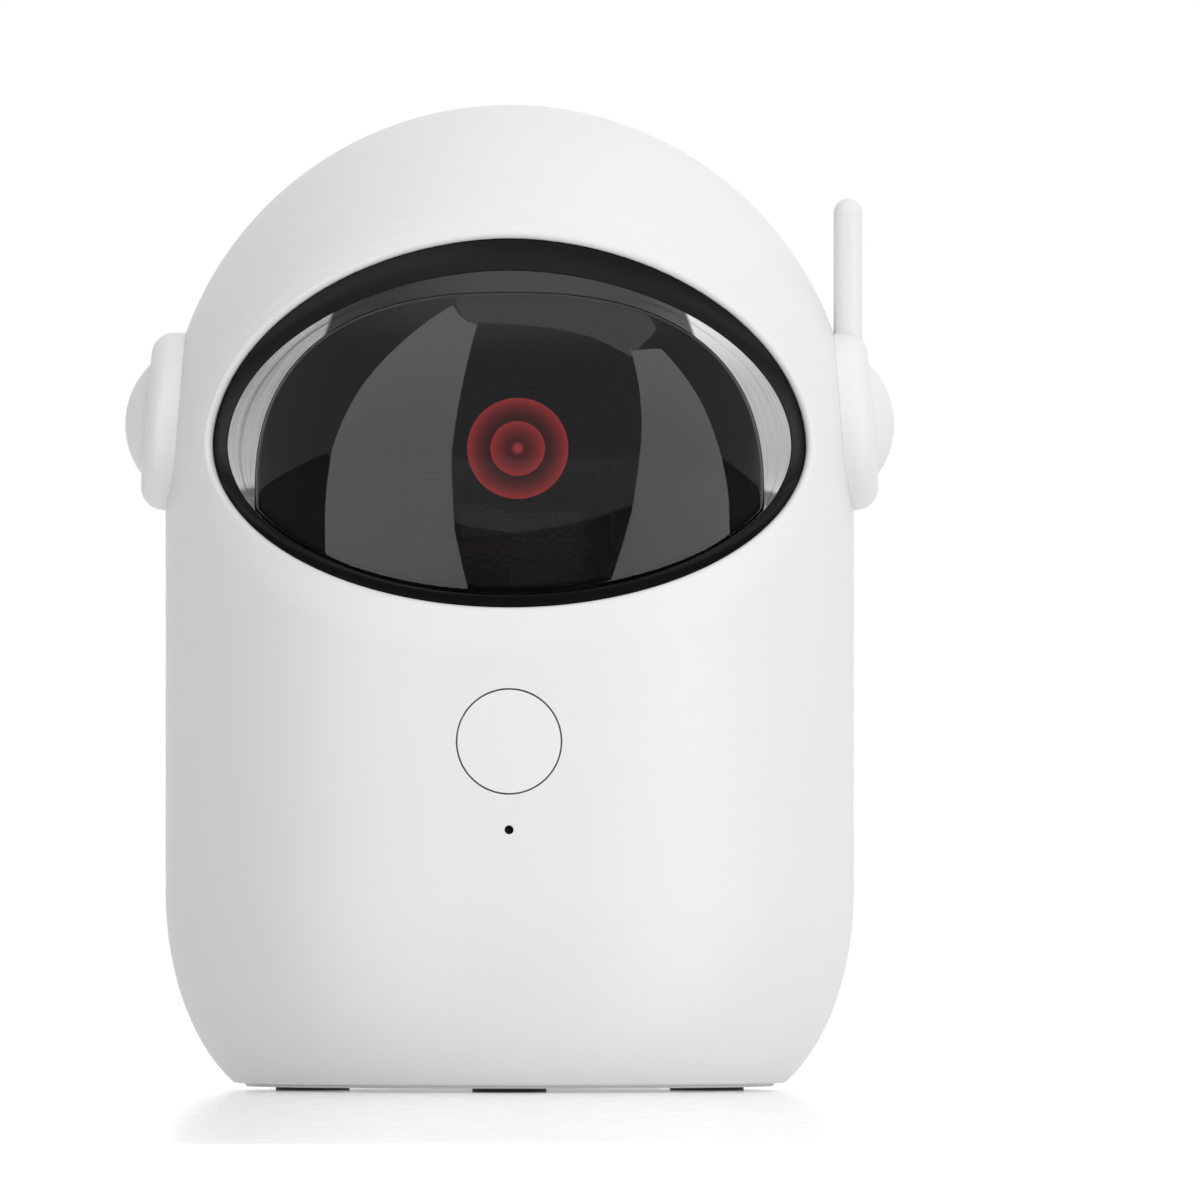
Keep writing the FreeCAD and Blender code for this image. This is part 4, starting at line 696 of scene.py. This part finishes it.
# Plastics of each step: slot, name, colour, roughness, grain size and depth in millimetres, shade change
PLASTICS = {
    "housing": (("base_plastic", "Base plastic", (0.72, 0.72, 0.71), 0.50, 0.50, 0.008, 0.05),
                ("foot_rubber", "Foot rubber", (0.035, 0.035, 0.036), 0.75, 0.60, 0.020, 0.20)),
    "turret": (("gear_nylon", "Gear nylon", (0.66, 0.64, 0.58), 0.46, 0.30, 0.006, 0.08),
               ("deck_plastic", "Deck plastic", (0.045, 0.046, 0.048), 0.55, 0.50, 0.010, 0.20)),
    "electronics": (("chip_black", "Chip black", (0.02, 0.02, 0.021), 0.50, 0.15, 0.004, 0.20),
                    ("header_white", "Header white", (0.78, 0.76, 0.70), 0.45, 0.30, 0.004, 0.06),
                    ("switch_black", "Switch black", (0.03, 0.03, 0.031), 0.42, 0.30, 0.004, 0.20)),
}

# Metals of each step: slot, name, colour, roughness, stretch of the streaks along X, Y and Z
METALS = {
    "laser": (("laser_brass", "Turned brass", (0.70, 0.52, 0.24), 0.28, (1, 12, 1)),),
    "turret": (("motor_steel", "Motor steel", (0.62, 0.62, 0.63), 0.30, (1, 1, 14)),),
    "electronics": (("socket_steel", "Socket steel", (0.66, 0.66, 0.67), 0.26, (1, 10, 1)),),
    "fasteners": (("steel_zinc", "Zinc plating", (0.60, 0.61, 0.63), 0.34, (1, 1, 1)),),
}


def dress_step(step):
    """Gives the plastics and metals of one step to their slots."""
    for slot, name, tone, roughness, grain, depth, shade in PLASTICS.get(step, ()):
        dress(plastic(name, tone, roughness, grain * MM, depth * MM, shade), slot)
    for slot, name, tone, roughness, stretch in METALS.get(step, ()):
        dress(metal(name, tone, roughness, stretch), slot)


# Operators

class LASERTOY_OT_housing(Operator):
    """Gives the white housing, the ears, the antenna, the button and the base their moulded plastics"""
    bl_idname = "lasertoy.housing"
    bl_label = "Finish the housing"

    def execute(self, context):
        h = settings().housing
        dress(plastic("White moulded plastic", h.white, h.roughness, h.grain, shade=0.02), "white_shell")
        dress(plastic("White button plastic", h.button_white, BUTTON_ROUGHNESS, h.grain, shade=0.02),
              "white_button")
        dress_step("housing")
        return {"FINISHED"}


class LASERTOY_OT_visor(Operator):
    """Builds the smoked dome and its shoulder, and gives them their finishes"""
    bl_idname = "lasertoy.visor"
    bl_label = "Build the visor"

    def execute(self, context):
        place_piece(make_dome(), window_finish(), "root", "smoked_window", "visor")
        place_piece(make_shoulder(), shoulder_finish(), "root", "smoked_window", "visor")
        return {"FINISHED"}


class LASERTOY_OT_bezel(Operator):
    """Builds the black ring round the visor, and finishes the mask behind it"""
    bl_idname = "lasertoy.bezel"
    bl_label = "Build the black ring"

    def execute(self, context):
        black = settings().visor.black
        satin = plastic("Black trim", black, 0.36, 0.4 * MM, 0.003 * MM, 0.3, Specular_IOR_Level=0.12)
        place_piece(make_bezel(), satin, "root", "black_trim", "visor_bezel")
        dress(plastic("Black inner plastic", black, 0.6, 0.4 * MM, 0.006 * MM, 0.3), "black_inner")
        return {"FINISHED"}


class LASERTOY_OT_laser(Operator):
    """Lights the red zones of the laser head and finishes its barrel and lens"""
    bl_idname = "lasertoy.laser"
    bl_label = "Finish the laser head"

    def execute(self, context):
        l = settings().laser
        outer = glow_finish("Outer red zone", l.inner_radius, l.outer_radius)
        inner = glow_finish("Inner red zone", 0.0, l.inner_radius, spot=l.spot_radius)
        for name, finish in (("outer_light_ring", outer), ("aperture_plate", outer),
                             ("inner_light_ring", inner), ("laser_lens", inner)):
            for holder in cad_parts[name].material_slots:
                holder.material = finish
        dress_step("laser")
        return {"FINISHED"}


class LASERTOY_OT_turret(Operator):
    """Finishes the deck, the yoke, the gears and the two motors"""
    bl_idname = "lasertoy.turret"
    bl_label = "Finish the turret"

    def execute(self, context):
        dress_step("turret")
        return {"FINISHED"}


class LASERTOY_OT_electronics(Operator):
    """Finishes the boards, chips, headers, lamp, switch, socket and cell"""
    bl_idname = "lasertoy.electronics"
    bl_label = "Finish the electronics"

    def execute(self, context):
        dress(board_finish(), "circuit_board")
        dress(wrap_finish(), "cell_wrap")
        dress(plastic("Lamp lens", (0.82, 0.84, 0.86), 0.16, 0.5 * MM, 0.002 * MM, 0.05,
                      Transmission_Weight=0.7), "led_clear")
        dress_step("electronics")
        return {"FINISHED"}


class LASERTOY_OT_fasteners(Operator):
    """Gives every screw its zinc plating"""
    bl_idname = "lasertoy.fasteners"
    bl_label = "Finish the screws"

    def execute(self, context):
        dress_step("fasteners")
        return {"FINISHED"}


# Studio

# Outlines of the boards that the visor reflects: azimuth from -Y towards +X and elevation, in degrees
LEFT_SOFTBOX = ((-27.8, 49.6), (-23.5, 46.5), (-19.0, 44.2), (-14.0, 43.4), (-17.3, 20.1), (-20.0, -1.9),
                (-19.5, -13.7), (-15.5, -24.9), (-22, -44), (-62, -44), (-70.3, -14.7), (-67.8, -7.2),
                (-63.8, 1.1), (-56.0, 18.0), (-45.0, 33.8))
RIGHT_SOFTBOX = ((48.9, 31.3), (47.9, 17.0), (46.5, 1.2), (43.9, -9.6), (37.9, -22.6), (36, -44),
                 (80, -44), (86.0, -11.6), (82.6, -5.2), (77.6, 1.0), (71.9, 13.7), (62.0, 30.2))
TABLE = ((-104, -5), (-67.5, -0.6), (-31.9, -10.8), (2.6, -14.5), (39.4, -9.8), (76.7, -0.6), (104, -5),
         (104, -60), (0, -80), (-104, -60))
CEILING = ((-26.5, 51.0), (-23.0, 47.0), (-19.0, 44.6), (-14.1, 43.8), (2.8, 43.7), (19.2, 41.7),
           (34.9, 37.3), (48.1, 29.4), (64.0, 36.0), (70, 60), (0, 88), (-50, 72))
# Name, outline, setting with the brightness, and distance of each board
BOARDS = (("left softbox", LEFT_SOFTBOX, "left_card", 1.2),
          ("right softbox", RIGHT_SOFTBOX, "right_card", 1.2),
          ("table", TABLE, "table", 3.0), ("ceiling", CEILING, "ceiling", 1.4))
BOARD_SPAN, BOARD_SHARES = (-0.5, 0.7), (0.78, 1.12)
# Name, place, target, diameter and power of each lamp
LAMPS = (("Key", (1.5, -2.0, 1.9), (0, 0, 0.06), 1.6, 4.0),
         ("Front fill", (0.2, -2.4, 0.7), (0, 0, 0.06), 1.4, 17.0))
SKY_LEAN, SKY_LIGHT = (0.42, 0.0, 1.0), (0.10, 1.36)
ROOF_SPAN, WALL_SPAN, WALL_LIGHT = (0.50, 0.95), (0.1, 0.5), 1.05
FLOOR_HALF, FLOOR_GLOW, MIRROR_SPAN = 2.5, 0.12, (-0.60, -0.06)
SENSOR_WIDTH, CLIP_END = 36.0, 100.0


def card(name, outline, strength, distance):
    """Emissive board seen only in reflections: a fan over directions, brighter towards its top."""
    turn, lift = np.radians(np.array(outline, dtype=float)).T
    points = np.stack([np.sin(turn) * np.cos(lift), -np.cos(turn) * np.cos(lift), np.sin(lift)], axis=1)
    points = points * distance + np.array([0, 0, settings().housing.dome_z])
    points = np.vstack([points.mean(axis=0), points])
    count = len(outline)
    faces = [(0, 1 + i, 1 + (i + 1) % count) for i in range(count)]
    mesh = bpy.data.meshes.new(name)
    mesh.from_pydata(points.tolist(), [], faces)
    board = bpy.data.objects.new(name, mesh)
    bpy.context.scene.collection.objects.link(board)
    material = bpy.data.materials.new(name)
    material.use_nodes = True
    tree = material.node_tree
    tree.nodes.clear()
    bottom, top = (part * strength for part in BOARD_SHARES)
    fade = mapped(tree, axes(tree, own_place(tree))["Z"], *BOARD_SPAN, low=bottom, high=top)
    lamp = put(tree, "ShaderNodeEmission", {"Strength": fade})
    put(tree, "ShaderNodeOutputMaterial", {"Surface": lamp.outputs[0]})
    mesh.materials.append(material)
    board.visible_camera = board.visible_diffuse = board.visible_shadow = False
    board.visible_transmission = board.visible_volume_scatter = False


def area_light(name, place, target, size, power):
    light = bpy.data.lights.new(name, "AREA")
    light.shape, light.size, light.energy = "DISK", size, power
    lamp = bpy.data.objects.new(name, light)
    bpy.context.scene.collection.objects.link(lamp)
    lamp.location = place
    lamp.rotation_euler = (Vector(target) - Vector(place)).to_track_quat("-Z", "Y").to_euler()
    lamp.visible_camera = lamp.visible_glossy = lamp.visible_transmission = False


def make_world(room, ceiling):
    """White to the camera, a dim room with a pale back wall in reflections, soft light from above."""
    world = bpy.data.worlds.new("Studio")
    bpy.context.scene.world = world
    world.use_nodes = True
    tree = world.node_tree
    tree.nodes.clear()
    way = put(tree, "ShaderNodeTexCoord").outputs["Generated"]
    towards = axes(tree, way)
    tilt = vectors(tree, "DOT_PRODUCT", way, SKY_LEAN, output="Value")
    soft = mapped(tree, tilt, 0.0, 1.0, *SKY_LIGHT)
    roof = mapped(tree, towards["Z"], *ROOF_SPAN, room, ceiling, interpolation="SMOOTHSTEP")
    wall = mapped(tree, towards["Y"], *WALL_SPAN)
    room_light = put(tree, "ShaderNodeMix", {"Factor": wall, "A": roof, "B": WALL_LIGHT},
                     data_type="FLOAT")
    path = put(tree, "ShaderNodeLightPath").outputs
    ambient, dim, white = (
        put(tree, "ShaderNodeBackground", {"Color": (1, 1, 1, 1), "Strength": strength}).outputs[0]
        for strength in (soft, room_light.outputs[0], 1.0))
    glossy = put(tree, "ShaderNodeMixShader", {0: path["Is Glossy Ray"], 1: ambient, 2: dim}).outputs[0]
    seen = put(tree, "ShaderNodeMixShader", {0: path["Is Camera Ray"], 1: glossy, 2: white}).outputs[0]
    put(tree, "ShaderNodeOutputWorld", {"Surface": seen})


def make_floor(tone):
    """Pale sheet that mirrors the foot of the toy; the mirror fades out in front of it."""
    mesh = bpy.data.meshes.new("floor")
    corners = [(x * FLOOR_HALF, y * FLOOR_HALF, 0) for x, y in ((-1, -1), (1, -1), (1, 1), (-1, 1))]
    mesh.from_pydata(corners, [], [(0, 1, 2, 3)])
    floor = bpy.data.objects.new("floor", mesh)
    bpy.context.scene.collection.objects.link(floor)
    sheet = plastic("Pale floor", tone, 0.14, 2 * MM, 0.0, 0.01, Emission_Color=(1, 1, 1, 1),
                    Emission_Strength=FLOOR_GLOW)
    tree = sheet.node_tree
    mirror = mapped(tree, axes(tree, own_place(tree))["Y"], *MIRROR_SPAN, high=0.5)
    feed(tree, tree.nodes["Principled BSDF"], {"Specular IOR Level": mirror})
    mesh.materials.append(sheet)
    floor.visible_glossy = False


class LASERTOY_OT_stage(Operator):
    """Sets up the camera, the pale floor, the soft lights and the boards that the visor reflects"""
    bl_idname = "lasertoy.stage"
    bl_label = "Set the stage"

    def execute(self, context):
        s = settings().studio
        camera = bpy.data.cameras.new("Camera")
        camera.lens, camera.sensor_width, camera.clip_end = s.lens, SENSOR_WIDTH, CLIP_END
        holder = bpy.data.objects.new("Camera", camera)
        context.scene.collection.objects.link(holder)
        holder.location = (s.offset, -s.distance, s.height)
        holder.rotation_euler = (math.pi / 2, 0, 0)
        context.scene.camera = holder
        context.scene.view_settings.view_transform = "Standard"
        make_world(s.room, s.ceiling)
        make_floor(s.floor)
        for name, outline, setting, distance in BOARDS:
            card(name, outline, getattr(s, setting), distance)
        for lamp in LAMPS:
            area_light(*lamp)
        return {"FINISHED"}


class LASERTOY_PT_panel(Panel):
    """Lists the sizes, the colours and the steps that build the toy"""
    bl_idname = "LASERTOY_PT_panel"
    bl_label = "Laser Toy"
    bl_space_type = "VIEW_3D"
    bl_region_type = "UI"
    bl_category = "Laser Toy"

    def draw(self, context):
        toy = settings()
        for label in ("housing", "visor", "laser", "studio"):
            group = getattr(toy, label)
            column = self.layout.box().column(align=True)
            column.label(text=label.capitalize())
            for name in group.__annotations__:
                column.prop(group, name)
        for step in STEPS:
            self.layout.operator(step.bl_idname)


STEPS = (LASERTOY_OT_stage, LASERTOY_OT_housing, LASERTOY_OT_visor, LASERTOY_OT_bezel, LASERTOY_OT_laser,
         LASERTOY_OT_turret, LASERTOY_OT_electronics, LASERTOY_OT_fasteners)
CLASSES = (HousingSettings, VisorSettings, LaserSettings, StudioSettings, LaserToySettings,
           *STEPS, LASERTOY_PT_panel)


def register():
    for item in CLASSES:
        bpy.utils.register_class(item)
    bpy.types.Scene.laser_toy = PointerProperty(type=LaserToySettings)


def unregister():
    del bpy.types.Scene.laser_toy
    for item in reversed(CLASSES):
        bpy.utils.unregister_class(item)


def main():
    register()
    for step in STEPS:
        group, name = step.bl_idname.split(".")
        getattr(getattr(bpy.ops, group), name)()


if __name__ == "__main__":
    main()
